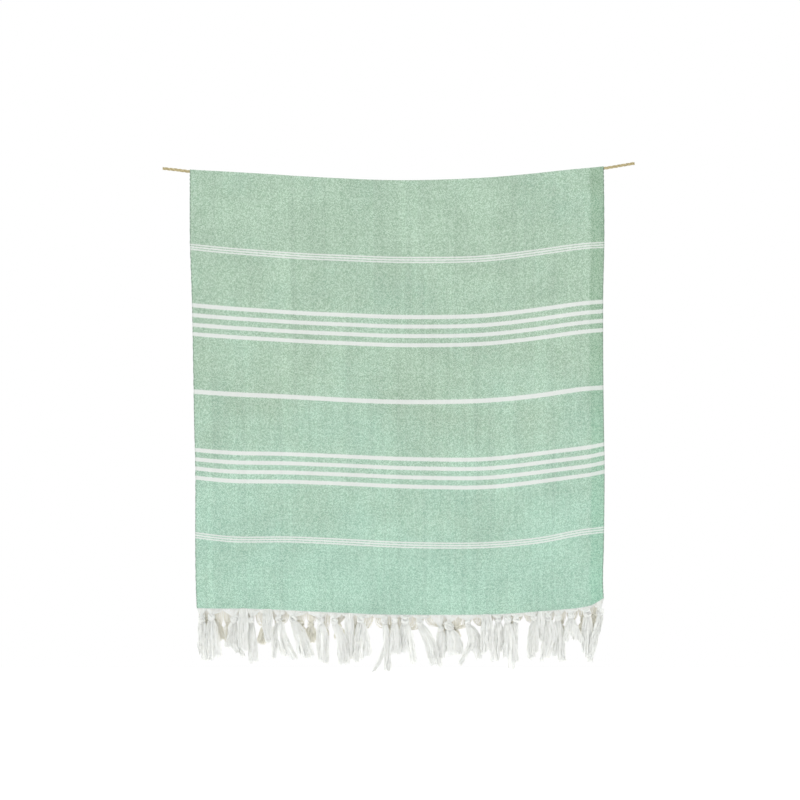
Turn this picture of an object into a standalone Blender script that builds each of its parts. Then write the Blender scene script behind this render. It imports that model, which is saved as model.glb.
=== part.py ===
# A hammam towel, folded in half over a twisted rope.
#
# Metres, +Z up. The origin is the middle of the rope's left cut end. +X runs along the rope to
# the right, and the towel's front faces -Y. Each half of the towel hangs from the rope as a
# sheet, and each end of the towel carries a row of knotted tassels.

import math

import bmesh
import bpy

MM = 0.001

# ---- Rope ----------------------------------------------------------------------------------
ROPE_DIAMETER = 6.5 * MM
ROPE_PLIES = 3
ROPE_LAY = 30.0 * MM          # along the rope, one full turn of a ply
ROPE_STEPS_PER_TURN = 6
ROPE_VALLEY = 0.74            # radius between two plies, as a share of the full radius
# The sagging route of the rope's middle line: x, y, z.
ROPE_ROUTE = [
    (0.000, 0.0, 0.0000),
    (0.030, 0.0, -0.0033),
    (0.060, 0.0, -0.0070),
    (0.130, 0.0, -0.0110),
    (0.220, 0.0, -0.0162),
    (0.310, 0.0, -0.0220),
    (0.385, 0.0, -0.0260),
    (0.460, 0.0, -0.0292),
    (0.515, 0.0, -0.0302),
    (0.570, 0.0, -0.0298),
    (0.640, 0.0, -0.0278),
    (0.720, 0.0, -0.0235),
    (0.800, 0.0, -0.0165),
    (0.880, 0.0, -0.0080),
    (0.961, 0.0, -0.0002),
    (0.995, 0.0, 0.0052),
    (1.030, 0.0, 0.0110),
]

# ---- Cloth ---------------------------------------------------------------------------------
TOWEL_LEFT = 59.5 * MM        # where the left selvedge crosses the rope
TOWEL_WIDTH = 903.0 * MM
CLOTH_THICKNESS = 2.0 * MM
ROPE_CLEARANCE = 2.0 * MM     # between the rope and the cloth over it
LAYER_SPACING = 5.2 * MM      # between the middles of the two layers, well below the rope
CLOSING_LENGTH = 70.0 * MM    # how fast the two layers close up below the rope
BACK_HEM_RISE = 2.0 * MM      # how much higher the back end hangs

FOLD_STEPS = 6                # faces round the fold over the rope
HANG_ROWS = 12                # faces down each half
ROW_GROWTH = 1.35             # rows are closer together near the rope
MIDDLE_COLUMNS = 25
EDGE_COLUMNS = [0.014, 0.028, 0.045]    # extra columns beside each selvedge, shares of the width

# How far each selvedge is drawn in, down the towel: mm below the rope, left mm, right mm.
SELVEDGES = [
    (0, 0.0, 0.0),
    (150, 0.0, -2.5),
    (270, 4.0, 0.0),
    (420, 7.0, 0.0),
    (560, 9.0, -1.5),
    (650, 11.0, -3.0),
    (820, 11.0, -1.5),
    (900, 12.0, 0.5),
    (965, 14.5, -2.5),
]

# The front hem: share of the width from the left, mm below the origin.
FRONT_HEM = [
    (0.00, 963.0),
    (0.13, 964.0),
    (0.32, 970.5),
    (0.50, 977.0),
    (0.72, 975.5),
    (0.84, 969.5),
    (0.93, 962.5),
    (0.97, 955.0),
    (1.00, 941.0),
]

# Soft folds that run down both layers. The cloth is pushed back by depth at the fold's middle.
# Columns: share of the width, half width as a share, depth mm, mm below the rope where it
# starts.
SOFT_FOLDS = [
    (0.17, 0.10, 4.0, 150),
    (0.36, 0.11, -3.5, 80),
    (0.55, 0.10, 4.5, 250),
    (0.73, 0.10, -3.5, 120),
    (0.88, 0.07, 3.0, 300),
]
FOLD_GROWTH = 500.0 * MM      # a soft fold deepens over this length

# The edge strips that turn back from a crease beside each selvedge.
# Columns: side, share of the width at the crease, depth mm at the selvedge, start mm, growth mm.
TURNED_EDGES = [
    ("left", 0.045, 6.0, 430, 250),
    ("right", 0.034, 8.0, 20, 120),
]

# ---- Fringe --------------------------------------------------------------------------------
STRIP_GAP = 0.9 * MM          # between the cloth's edge and the strip the tassels hang from
FRONT_STRIP_HEIGHT = 3.2 * MM
BACK_STRIP_HEIGHT = 9.0 * MM  # the back yarns hang straight for longer before they gather
STRIP_THICKNESS = 2.0 * MM
ROOT_PARTING = 1.6 * MM       # between the roots of two neighbours
KNOT_DEPTH = 0.78             # a knot's depth and height, as shares of its width
KNOT_HEIGHT = 0.90
BUNCH_WIDTH = 13.0 * MM       # a bunch without a knot, at its narrowest
NECK_WIDTH = 7.0 * MM
NECK_DEPTH = 6.0 * MM
GATHER_WIDTH = 0.45           # half way down to the neck, as a share of the root's width
GATHER_DEPTH = 4.4 * MM
GATHER_HEIGHT = 2.4 * MM      # at least this far from the strip down to the knot
FOOT_SHARE = 0.72             # a knot's width where the locks part, as a share of its full width
KNOT_OUT = 5.5 * MM           # the knots stand this far out from the cloth's middle
LAYER_OUT = [6.5 * MM, 18.0 * MM]    # every second tassel hangs in front of its neighbours
HANG_PLANE_MARGIN = 42 * MM   # the outermost tassels hang in the plane of the hem this far in
LOCK_DEPTH = 4.8 * MM
# Down a lock, from its knot to its middle and its tip: how far along it is to its middle, how
# far it has swung aside, how far it has come to its own layer, and its width as a share.
LOCK_TOP = (0.42, 0.50, 0.95, 0.62)
LOCK_TIP_WIDTH = 0.50
SHORTEST_TIP = 14.0           # a lock's tip hangs at least this far below its middle, mm
LOCK_PARTING = 0.22           # how far a lock's root is drawn in from its neighbours
MIDDLE_LOCK_OUT = 2.9 * MM    # the middle lock hangs in front of the tassel's two side locks
SIDE_LOCK_OUT = -2.5 * MM
SIDE_LOCK_PARTING = 0.8 * MM  # between the two side locks, behind the middle one

# The front tassels, left to right, in mm: the knot's place from the left selvedge, the knot
# below the hem, the knot's width (0 is a bunch without a knot), and three locks. A lock is its
# middle (right of the knot, below the hem), its tip (the same) and its width.
FRONT_TASSELS = [
    (11, 20, 17, ((-2, 69, 1, 99, 16), (3, 71, 6, 110, 17), (9, 69, 14, 110, 17))),
    (33, 17, 16, ((-5, 68, -4, 111, 17), (3, 68, 3, 107, 17), (11, 66, 18, 101, 17))),
    (83, 20, 17, ((-8, 50, -15, 84, 19), (-3, 70, 10, 91, 17), (2, 72, 22, 104, 12))),
    (102, 17, 0, ((-5, 55, -3, 84, 14), (1, 57, 2, 88, 15), (6, 55, 8, 88, 14))),
    (120, 22, 14, ((-2, 78, -2, 117, 12), (2, 67, 3, 107, 15), (6, 78, 10, 115, 14))),
    (156, 15, 0, ((-5, 35, 0, 61, 13), (0, 37, 3, 70, 15), (5, 35, 6, 64, 13))),
    (180, 18, 15, ((-10, 71, -10, 105, 15), (0, 60, 17, 100, 19), (11, 62, 37, 108, 19))),
    (212, 16, 17, ((11, 59, 13, 93, 17), (16, 63, 25, 102, 20), (28, 63, 42, 101, 20))),
    (272, 16, 16, ((-4, 64, -2, 104, 14), (3, 64, 4, 107, 16), (12, 56, 11, 110, 14))),
    (302, 17, 15, ((14, 55, 14, 107, 16), (17, 58, 19, 112, 17), (21, 58, 28, 109, 16))),
    (333, 10, 0, ((-3, 48, -1, 92, 13), (1, 48, 7, 99, 15), (5, 53, 13, 95, 13))),
    (359, 10, 16, ((-9, 62, -10, 103, 17), (1, 58, 2, 96, 20), (14, 60, 18, 91, 19))),
    (411, 10, 15, ((8, 58, -25, 124, 12), (5, 66, 3, 123, 15), (9, 63, 11, 123, 12))),
    (433, 10, 14, ((-4, 46, -7, 82, 13), (1, 44, 1, 79, 15), (6, 46, 9, 81, 13))),
    (456, 10, 17, ((-11, 53, -19, 84, 15), (-3, 55, -6, 80, 17), (10, 57, 19, 107, 19))),
    (488, 13, 16, ((19, 62, 29, 108, 16), (22, 59, 33, 101, 17), (30, 62, 44, 110, 18))),
    (533, 28, 13, ((-3, 54, -3, 79, 13), (2, 54, 6, 91, 15), (7, 52, 11, 77, 13))),
    (552, 22, 20, ((3, 55, 3, 87, 17), (12, 55, 12, 84, 20), (22, 58, 26, 82, 17))),
    (592, 15, 13, ((10, 56, -19, 107, 13), (15, 48, 10, 79, 15), (22, 50, 22, 97, 19))),
    (634, 10, 0, ((-8, 48, -8, 85, 15), (0, 46, 0, 74, 17), (10, 61, 12, 101, 14))),
    (658, 10, 15, ((-7, 58, -1, 101, 14), (0, 47, 3, 82, 20), (7, 47, 10, 79, 15))),
    (679, 10, 16, ((-3, 51, -5, 93, 17), (6, 64, 8, 118, 19), (12, 66, 21, 104, 15))),
    (697, 11, 14, ((-4, 50, -5, 82, 13), (-3, 45, -2, 74, 11), (-1, 50, 0, 82, 9))),
    (737, 10, 14, ((-11, 63, -10, 101, 14), (-4, 61, -3, 96, 14), (2, 52, 4, 86, 14))),
    (752, 10, 0, ((-4, 33, -1, 57, 11), (0, 37, 1, 63, 13), (4, 33, 2, 57, 11))),
    (768, 12, 15, ((-7, 63, -17, 107, 17), (5, 57, -4, 101, 20), (12, 44, 6, 84, 18))),
    (789, 15, 14, ((-5, 66, -9, 99, 15), (2, 63, 6, 111, 17), (9, 68, 13, 110, 14))),
    (817, 14, 15, ((-8, 40, -12, 69, 17), (2, 40, 7, 64, 17), (12, 45, 23, 72, 15))),
    (852, 12, 17, ((-5, 56, -6, 100, 15), (1, 65, 2, 111, 17), (8, 67, 7, 119, 16))),
    (882, 22, 18, ((-12, 81, -26, 126, 14), (-10, 64, -21, 107, 16), (-4, 51, -15, 84, 14))),
]

# The back tassels, in mm: the knot's place from the left selvedge, how far the tips hang below
# the hem, and how far they lean right.
BACK_TASSELS = [
    (22, 66, 0), (46, 76, 0), (70, 78, 4), (104, 66, 0), (152, 80, -10), (178, 60, -2),
    (228, 60, 0), (250, 72, 3), (276, 60, 0), (310, 62, 6), (350, 56, -2), (428, 56, 0),
    (449, 56, 2), (546, 56, 0), (566, 56, -2), (637, 56, 0), (659, 60, 0), (681, 58, -2),
    (748, 60, 3), (771, 62, 0), (796, 62, 0), (821, 56, 4), (846, 62, 0), (870, 70, -6),
]
BACK_DROP = 23.0              # the knots below the hem
BACK_KNOT = 15.0
BACK_LOCK_SPREAD = 6.5        # between two locks, half way down
BACK_LOCK_WIDTH = 12.0

# ---- Colours, linear -----------------------------------------------------------------------
SAGE = (0.44, 0.60, 0.47, 1.0)
OFF_WHITE = (0.80, 0.80, 0.75, 1.0)
JUTE = (0.46, 0.34, 0.16, 1.0)


# ---- Small helpers -------------------------------------------------------------------------
def smooth(rows, at, column=1):
    """Read one column of a table as a smooth curve through its rows."""
    last = len(rows) - 1
    k = 0
    while k < last - 1 and at > rows[k + 1][0]:
        k += 1
    x0, x1 = rows[k][0], rows[k + 1][0]
    y0, y1 = rows[k][column], rows[k + 1][column]

    def slope(i):
        low, high = max(i - 1, 0), min(i + 1, last)
        return (rows[high][column] - rows[low][column]) / (rows[high][0] - rows[low][0])

    span = x1 - x0
    t = min(max((at - x0) / span, 0.0), 1.0)
    bend = (2 * t**3 - 3 * t**2 + 1) * y0 + (3 * t**2 - 2 * t**3) * y1
    return bend + span * ((t**3 - 2 * t**2 + t) * slope(k) + (t**3 - t**2) * slope(k + 1))


def ease(t):
    """0 to 1 with soft ends."""
    t = min(max(t, 0.0), 1.0)
    return t * t * (3 - 2 * t)


def material(name, color, roughness):
    made = bpy.data.materials.new(name)
    made.use_nodes = True
    shader = made.node_tree.nodes["Principled BSDF"]
    shader.inputs["Base Color"].default_value = color
    shader.inputs["Roughness"].default_value = roughness
    shader.inputs["Metallic"].default_value = 0.0
    return made


def add_object(name, bm, finish):
    """Close the bmesh off as an object with outward faces and one material."""
    bmesh.ops.recalc_face_normals(bm, faces=bm.faces)
    mesh = bpy.data.meshes.new(name)
    bm.to_mesh(mesh)
    bm.free()
    mesh.shade_smooth()
    mesh.set_sharp_from_angle(angle=math.radians(50))
    mesh.materials.append(finish)
    made = bpy.data.objects.new(name, mesh)
    bpy.context.scene.collection.objects.link(made)
    return made


def bridge(bm, ring_a, ring_b):
    """Join two rings with the same number of points by a band of quads."""
    count = len(ring_a)
    for i in range(count):
        j = (i + 1) % count
        bm.faces.new((ring_a[i], ring_a[j], ring_b[j], ring_b[i]))


# ---- Rope ----------------------------------------------------------------------------------
def rope_height(x):
    """Height of the rope's middle line at x."""
    return smooth(ROPE_ROUTE, x, 2)


def build_rope():
    length = ROPE_ROUTE[-1][0]
    steps = round(length / ROPE_LAY * ROPE_STEPS_PER_TURN)
    points = 2 * ROPE_PLIES
    bm = bmesh.new()
    rings = []
    for step in range(steps + 1):
        x = length * step / steps
        turn = math.tau * x / ROPE_LAY
        ring = []
        for i in range(points):
            radius = ROPE_DIAMETER / 2 * (1.0 if i % 2 == 0 else ROPE_VALLEY)
            angle = turn + math.tau * i / points
            y = radius * math.cos(angle)
            z = rope_height(x) + radius * math.sin(angle)
            ring.append(bm.verts.new((x, y, z)))
        rings.append(ring)
    for near, far in zip(rings, rings[1:]):
        bridge(bm, near, far)
    bm.faces.new(rings[0])
    bm.faces.new(rings[-1])
    return add_object("rope", bm, material("jute_rope", JUTE, 0.85))


# ---- Cloth ---------------------------------------------------------------------------------
def hem_drop(across):
    """Depth of the front hem below the origin, at a share of the width."""
    return smooth(FRONT_HEM, across) * MM


def across_to_x(across, drop):
    """X of a point at a share of the width, on a row at a depth below the rope."""
    left = TOWEL_LEFT + smooth(SELVEDGES, drop / MM, 1) * MM
    right = TOWEL_LEFT + TOWEL_WIDTH - smooth(SELVEDGES, drop / MM, 2) * MM
    return left + (right - left) * across


def pushed_back(across, drop):
    """How far the folds push both layers out of their plane, towards +Y."""
    total = 0.0
    for middle, half_width, depth, start in SOFT_FOLDS:
        reach = (across - middle) / half_width
        grown = ease((drop - start * MM) / FOLD_GROWTH)
        total += depth * MM * grown * math.exp(-reach * reach)
    for side, crease, depth, start, growth in TURNED_EDGES:
        from_edge = across if side == "left" else 1.0 - across
        turned = max(0.0, 1.0 - from_edge / crease)
        total += depth * MM * turned * ease((drop - start * MM) / (growth * MM))
    return total


def cloth_point(across, share, side):
    """A point of the cloth's middle surface. share runs from 0 beside the rope to 1 at the hem,
    and side is -1 on the front half and 1 on the back half."""
    top_x = across_to_x(across, 0.0)
    top = -rope_height(top_x)
    hem = hem_drop(across) - (BACK_HEM_RISE if side > 0 else 0.0)
    drop = (hem - top) * share
    x = across_to_x(across, drop)
    fold_radius = ROPE_DIAMETER / 2 + ROPE_CLEARANCE + CLOTH_THICKNESS / 2
    closing = math.exp(-((drop / CLOSING_LENGTH) ** 2))
    apart = LAYER_SPACING / 2 + (fold_radius - LAYER_SPACING / 2) * closing
    return (x, side * apart + pushed_back(across, drop), -top - drop)


def fold_point(across, turn):
    """A point on the fold over the rope, from turn 0 at the front to pi at the back."""
    x = across_to_x(across, 0.0)
    radius = ROPE_DIAMETER / 2 + ROPE_CLEARANCE + CLOTH_THICKNESS / 2
    return (x, -radius * math.cos(turn), rope_height(x) + radius * math.sin(turn))


def cloth_columns():
    inner = EDGE_COLUMNS[-1]
    middle = [inner + (1 - 2 * inner) * i / MIDDLE_COLUMNS for i in range(MIDDLE_COLUMNS + 1)]
    left = [0.0] + EDGE_COLUMNS[:-1]
    return left + middle + [1.0 - share for share in reversed(left)]


def build_cloth():
    shares = [(row / HANG_ROWS) ** ROW_GROWTH for row in range(HANG_ROWS + 1)]
    turns = [math.pi * step / FOLD_STEPS for step in range(1, FOLD_STEPS)]
    bm = bmesh.new()
    lines = []
    for across in cloth_columns():
        line = [cloth_point(across, share, -1) for share in reversed(shares)]
        line += [fold_point(across, turn) for turn in turns]
        line += [cloth_point(across, share, 1) for share in shares]
        lines.append([bm.verts.new(point) for point in line])
    for left, right in zip(lines, lines[1:]):
        for low in range(len(left) - 1):
            bm.faces.new((left[low], right[low], right[low + 1], left[low + 1]))
    made = add_object("towel_cloth", bm, material("sage_cloth", SAGE, 0.9))
    wall = made.modifiers.new("cloth_thickness", "SOLIDIFY")
    wall.thickness = CLOTH_THICKNESS
    wall.offset = 0.0
    wall.use_even_offset = True
    return made


# ---- Fringe --------------------------------------------------------------------------------
def hem_point(from_left, side):
    """The middle of the hem's edge, at a distance in metres from the left selvedge."""
    across = min(max(from_left / hem_width(), 0.0), 1.0)
    return cloth_point(across, 1.0, side)


def hem_width():
    drop = FRONT_HEM[-1][1] * MM
    return across_to_x(1.0, drop) - across_to_x(0.0, drop)


def strip_height(side):
    return FRONT_STRIP_HEIGHT if side < 0 else BACK_STRIP_HEIGHT


def strip_station(bm, from_left, side):
    """Four corners of the strip: outer top, inner top, outer bottom, inner bottom."""
    x, y, z = hem_point(from_left, side)
    corners = []
    for height in (-STRIP_GAP, -STRIP_GAP - strip_height(side)):
        for out in (STRIP_THICKNESS / 2, -STRIP_THICKNESS / 2):
            corners.append(bm.verts.new((x, y + side * out, z + height)))
    return corners


def oval_ring(bm, middle, half_width, half_depth, side):
    """Six points round a tassel's middle, in the order of its root's corners."""
    x, y, z = middle
    ring = []
    for degrees in (150, 90, 30, -30, -90, -150):
        angle = math.radians(degrees)
        out = half_depth * math.sin(angle)
        ring.append(bm.verts.new((x + half_width * math.cos(angle), y + side * out, z)))
    return ring


def diamond_ring(bm, middle, half_width, half_depth, side, order):
    """Four points round a lock's middle. order names the direction of each."""
    x, y, z = middle
    step = {"left": (-1, 0), "right": (1, 0), "outer": (0, 1), "inner": (0, -1)}
    ring = []
    for name in order:
        dx, out = step[name]
        ring.append(bm.verts.new((x + dx * half_width, y + side * out * half_depth, z)))
    return ring


def inset_ring(bm, corners, share, lower):
    """A smaller copy of a quad, drawn in to its middle and let down a little."""
    middle = [sum(corner.co[axis] for corner in corners) / len(corners) for axis in range(3)]
    ring = []
    for corner in corners:
        x = corner.co[0] + (middle[0] - corner.co[0]) * share
        y = corner.co[1] + (middle[1] - corner.co[1]) * share
        ring.append(bm.verts.new((x, y, corner.co[2] - lower)))
    return ring


def lock_at(lock, foot_drop, drop):
    """How far right of its knot a lock's middle line is, in mm, at a depth below the hem."""
    mid_at, mid_drop, tip_at, tip_drop = lock[:4]
    if drop < mid_drop:
        return mid_at * (drop - foot_drop) / (mid_drop - foot_drop)
    return mid_at + (tip_at - mid_at) * (drop - mid_drop) / (tip_drop - mid_drop)


def side_lock_span(place, at, middle_at, width):
    """A side lock's middle and width, kept clear of the other side lock behind the middle one."""
    if place == 0:
        return at, width
    outer = at + place * width / 2
    inner = at - place * width / 2
    limit = middle_at + place * SIDE_LOCK_PARTING / 2
    inner = max(inner, limit) if place > 0 else min(inner, limit)
    return (outer + inner) / 2, abs(outer - inner)


def add_lock(bm, root, order, stations, side):
    """One lock of yarn, from its root's quad down to a tapered tip. Each station is its middle
    point, its width and its depth."""
    ring = inset_ring(bm, root, LOCK_PARTING, 0.8 * MM)
    bridge(bm, root, ring)
    for middle, width, depth in stations:
        lower = diamond_ring(bm, middle, width / 2, depth / 2, side, order)
        bridge(bm, ring, lower)
        ring = lower
    bm.faces.new(ring)


def knot_sizes(tassel):
    """Half width, half depth and half height of a tassel's knot."""
    width = max(tassel[2] * MM, BUNCH_WIDTH)
    return width / 2, width * KNOT_DEPTH / 2, width * KNOT_HEIGHT / 2


def knot_place(tassel, root, side):
    """The middle of a tassel's knot."""
    at = tassel[0] * MM
    x, y, z = hem_point(at, side)
    past_the_corner = at - min(at, hem_width())
    lowest_root = min(corner.co[2] for corner in root)
    highest = lowest_root - GATHER_HEIGHT - knot_sizes(tassel)[2]
    return (x + past_the_corner, y + side * KNOT_OUT, min(z - tassel[1] * MM, highest))


def add_gather_and_knot(bm, root, tassel, knot, side):
    """The yarns drawn together from their root to the neck, and the knot below it. Gives back
    the knot's lowest ring."""
    x, y, z = knot
    half_width, half_depth, half_height = knot_sizes(tassel)
    root_half = abs(root[2].co[0] - root[0].co[0]) / 2
    neck_z = z + half_height
    gather = [(root[1].co[axis] + root[4].co[axis]) / 2 for axis in range(3)]
    gather = [(high + low) / 2 for high, low in zip(gather, (x, y, neck_z))]
    gather_half = max(root_half * GATHER_WIDTH, NECK_WIDTH * 0.6)
    foot_half = half_width * FOOT_SHARE, half_depth * FOOT_SHARE
    rings = [
        root,
        oval_ring(bm, gather, gather_half, GATHER_DEPTH / 2, side),
        oval_ring(bm, (x, y, neck_z), NECK_WIDTH / 2, NECK_DEPTH / 2, side),
        oval_ring(bm, knot, half_width, half_depth, side),
        oval_ring(bm, (x, y, z - half_height), foot_half[0], foot_half[1], side),
    ]
    for upper, lower in zip(rings, rings[1:]):
        bridge(bm, upper, lower)
    return rings[-1]


def add_tassel(bm, root, index, tassel, side):
    """A gather, a knot and three locks, hung from the six corners of its root."""
    locks = tassel[3]
    knot = knot_place(tassel, root, side)
    x, y, z = knot
    half_height = knot_sizes(tassel)[2]
    foot_z = z - half_height
    hem_z = hem_point(tassel[0] * MM, side)[2]
    foot = add_gather_and_knot(bm, root, tassel, knot, side)
    heart = bm.verts.new((x, y, foot_z - 0.5 * MM))
    plane_at = min(max(tassel[0] * MM, HANG_PLANE_MARGIN), hem_width() - HANG_PLANE_MARGIN)
    hang_y = hem_point(plane_at, side)[1] + side * LAYER_OUT[index % 2]
    # Each lock: its corners at the knot's foot, the names of their directions, its place across
    # the tassel and out from it.
    hung = [
        ((heart, *foot[0:3]), ("inner", "left", "outer", "right"), 0, MIDDLE_LOCK_OUT),
        ((heart, *foot[2:5]), ("left", "outer", "right", "inner"), 1, SIDE_LOCK_OUT),
        ((heart, *foot[4:6], foot[0]), ("right", "inner", "left", "outer"), -1, SIDE_LOCK_OUT),
    ]
    middle = locks[1]
    half_way = min(middle[1], min(lock[3] for lock in locks) - SHORTEST_TIP)
    foot_drop = (hem_z - foot_z) / MM
    down, swung, layered, narrowed = LOCK_TOP
    top_y = y + (hang_y - y) * layered
    for corners, order, place, out in hung:
        lock = locks[1 + place]
        tip_drop, width = lock[3:]
        half_way_at = lock_at(lock, foot_drop, half_way)
        middle_at = lock_at(middle, foot_drop, half_way)
        stations = []
        for at, beside, station_y, drop, share in (
            (half_way_at * swung, middle_at * swung, top_y,
             foot_drop + (half_way - foot_drop) * down, narrowed),
            (half_way_at, middle_at, hang_y, half_way, 1.0),
            (lock[2], lock_at(middle, foot_drop, tip_drop), hang_y, tip_drop, LOCK_TIP_WIDTH),
        ):
            at, span = side_lock_span(place, at * MM, beside * MM, width * share * MM)
            depth = LOCK_DEPTH * (0.5 if drop == tip_drop else 1.0)
            stations.append(((x + at, station_y + side * out, hem_z - drop * MM), span, depth))
        add_lock(bm, corners, order, stations, side)


def back_tassels():
    """The back tassels, as rows like those of the front."""
    rows = []
    for at, tail, lean in BACK_TASSELS:
        half_way = (BACK_DROP + tail) / 2 + 4
        locks = []
        for place, shorter in ((-1, 3), (0, 0), (1, 5)):
            aside = place * BACK_LOCK_SPREAD
            locks.append(
                (aside + lean / 2, half_way, aside * 1.2 + lean, tail - shorter, BACK_LOCK_WIDTH)
            )
        rows.append((at, BACK_DROP, BACK_KNOT, locks))
    return rows


def build_fringe(name, tassels, side, finish):
    """One end's fringe: a narrow strip along the hem with the tassels fused to it."""
    width = hem_width()
    places = [row[0] * MM for row in tassels]
    middles = [(near + far) / 2 for near, far in zip(places, places[1:])]
    bounds = [0.0] + middles + [width]
    bm = bmesh.new()
    stations = [strip_station(bm, 0.0, side)]
    roots = []
    for low, high in zip(bounds, bounds[1:]):
        left = low + ROOT_PARTING / 2
        right = high - ROOT_PARTING / 2
        trio = [strip_station(bm, at, side) for at in (left, (left + right) / 2, right)]
        stations += trio
        roots.append([trio[0][2], trio[1][2], trio[2][2], trio[2][3], trio[1][3], trio[0][3]])
    stations.append(strip_station(bm, width, side))

    for k, (near, far) in enumerate(zip(stations, stations[1:])):
        bm.faces.new((near[0], far[0], far[1], near[1]))
        bm.faces.new((near[0], near[2], far[2], far[0]))
        bm.faces.new((near[1], far[1], far[3], near[3]))
        if k % 3 == 0:
            bm.faces.new((near[2], near[3], far[3], far[2]))
    for end in (stations[0], stations[-1]):
        bm.faces.new((end[0], end[1], end[3], end[2]))

    for index, (root, tassel) in enumerate(zip(roots, tassels)):
        add_tassel(bm, root, index, tassel, side)
    return add_object(name, bm, finish)


# ---- The whole object ----------------------------------------------------------------------
def main():
    for old in list(bpy.data.objects):
        bpy.data.objects.remove(old, do_unlink=True)
    build_rope()
    build_cloth()
    yarn = material("fringe_yarn", OFF_WHITE, 0.95)
    build_fringe("fringe_front", FRONT_TASSELS, -1, yarn)
    build_fringe("fringe_back", back_tassels(), 1, yarn)


main()
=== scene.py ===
# %% [markdown]
# # A hammam towel on a rope
#
# A hammam towel is a thin, flat-woven cotton towel. This one is folded in half over a twisted
# jute rope. It has off-white stripes woven into a heathered sage ground, and at both ends its
# warp yarns are left long and knotted into tassels.
#
# Each cell makes one piece or one finish. Lengths are metres, +X runs along the rope, +Z is up
# and the towel's front faces -Y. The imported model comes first, because every piece has to sit
# where its solid is.

import math
import random

import bpy
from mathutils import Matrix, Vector, noise


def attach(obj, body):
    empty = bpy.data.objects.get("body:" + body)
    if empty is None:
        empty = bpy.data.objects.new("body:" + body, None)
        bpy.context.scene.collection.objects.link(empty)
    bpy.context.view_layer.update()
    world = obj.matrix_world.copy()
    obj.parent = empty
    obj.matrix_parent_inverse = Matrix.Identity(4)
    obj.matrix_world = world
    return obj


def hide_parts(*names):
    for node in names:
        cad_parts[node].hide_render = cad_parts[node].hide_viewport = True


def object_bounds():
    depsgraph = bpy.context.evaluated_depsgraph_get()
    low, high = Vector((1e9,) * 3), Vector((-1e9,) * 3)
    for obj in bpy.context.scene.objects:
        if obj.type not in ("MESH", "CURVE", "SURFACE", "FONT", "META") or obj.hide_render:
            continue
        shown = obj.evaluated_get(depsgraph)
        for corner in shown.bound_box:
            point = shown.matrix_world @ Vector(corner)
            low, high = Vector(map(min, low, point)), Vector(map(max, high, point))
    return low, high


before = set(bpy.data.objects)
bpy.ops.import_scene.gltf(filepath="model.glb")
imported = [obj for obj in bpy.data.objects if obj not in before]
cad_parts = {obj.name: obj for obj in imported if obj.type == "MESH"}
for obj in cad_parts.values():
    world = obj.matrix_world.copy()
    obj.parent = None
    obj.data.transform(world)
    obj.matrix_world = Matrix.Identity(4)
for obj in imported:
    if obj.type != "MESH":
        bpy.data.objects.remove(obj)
cad_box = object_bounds()
MM = 0.001
print("solids:", sorted(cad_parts))
print("CAD box, mm:", [[round(value / MM) for value in corner] for corner in cad_box])

# %% [markdown]
# ## Camera and light
#
# The picture is a straight-on studio shot of the whole towel with white all round it. A long
# lens level with the towel's middle gives that view. The light is a bright, even white room with
# one large soft lamp in front, a little to the left, so that folds and yarns still get shade. A
# second lamp behind does the same for the towel's back.

# %% Camera
LENS = 70.0
SENSOR = 36.0
VIEW_MIDDLE = (0.5180, -0.5059)     # x and z in the middle of the picture
VIEW_WIDTH = 1.7476                 # how much of the towel's plane the picture spans

camera_data = bpy.data.cameras.new("studio_camera")
camera_data.lens = LENS
camera_data.sensor_width = SENSOR
camera = bpy.data.objects.new("studio_camera", camera_data)
camera.location = (VIEW_MIDDLE[0], -VIEW_WIDTH * LENS / SENSOR, VIEW_MIDDLE[1])
camera.rotation_euler = (math.pi / 2, 0.0, 0.0)
bpy.context.scene.collection.objects.link(camera)
bpy.context.scene.camera = camera
bpy.context.scene.view_settings.view_transform = "Standard"
print("camera distance:", round(-camera.location.y, 3))

# %% [markdown]
# ## Node trees in short lines
#
# Finishes and Geometry Nodes are both trees of small steps. Written out one by one, the steps
# would hide what a tree does. Each helper here adds a step and links it, so that the trees below
# read like the sums that they are.


# %% Helpers for node trees
def feed(tree, socket, value):
    """Link a socket to another one, or set it to a plain value."""
    if isinstance(value, bpy.types.NodeSocket):
        tree.links.new(value, socket)
    else:
        socket.default_value = value


def put(tree, kind, inputs=None, **settings):
    """Add a node with its settings made and its inputs fed."""
    node = tree.nodes.new(kind)
    for name, value in settings.items():
        setattr(node, name, value)
    for key, value in (inputs or {}).items():
        feed(tree, node.inputs[key], value)
    return node


def calc(tree, operation, *values):
    """One step of arithmetic."""
    return put(tree, "ShaderNodeMath", dict(enumerate(values)), operation=operation).outputs[0]


def product(tree, first, *others):
    """Numbers multiplied one after the other."""
    for other in others:
        first = calc(tree, "MULTIPLY", first, other)
    return first


def total(tree, first, *others):
    """Numbers added one after the other."""
    for other in others:
        first = calc(tree, "ADD", first, other)
    return first


def swing(tree, chance, amount):
    """A chance from 0 to 1 as a change of up to half the amount, either way."""
    return product(tree, calc(tree, "SUBTRACT", chance, 0.5), amount)


def rest_of(tree, share):
    """What a share leaves of the whole."""
    return calc(tree, "SUBTRACT", 1.0, share)


def combined(tree, x=0.0, y=0.0, z=0.0):
    """A vector of three numbers."""
    return put(tree, "ShaderNodeCombineXYZ", {0: x, 1: y, 2: z}).outputs[0]


def vector_calc(tree, operation, *values):
    """One step of vector arithmetic."""
    inputs = dict(enumerate(values))
    return put(tree, "ShaderNodeVectorMath", inputs, operation=operation).outputs[0]


def scaled(tree, vector, factor):
    """A vector times a number."""
    inputs = {0: vector, "Scale": factor}
    return put(tree, "ShaderNodeVectorMath", inputs, operation="SCALE").outputs[0]


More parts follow.
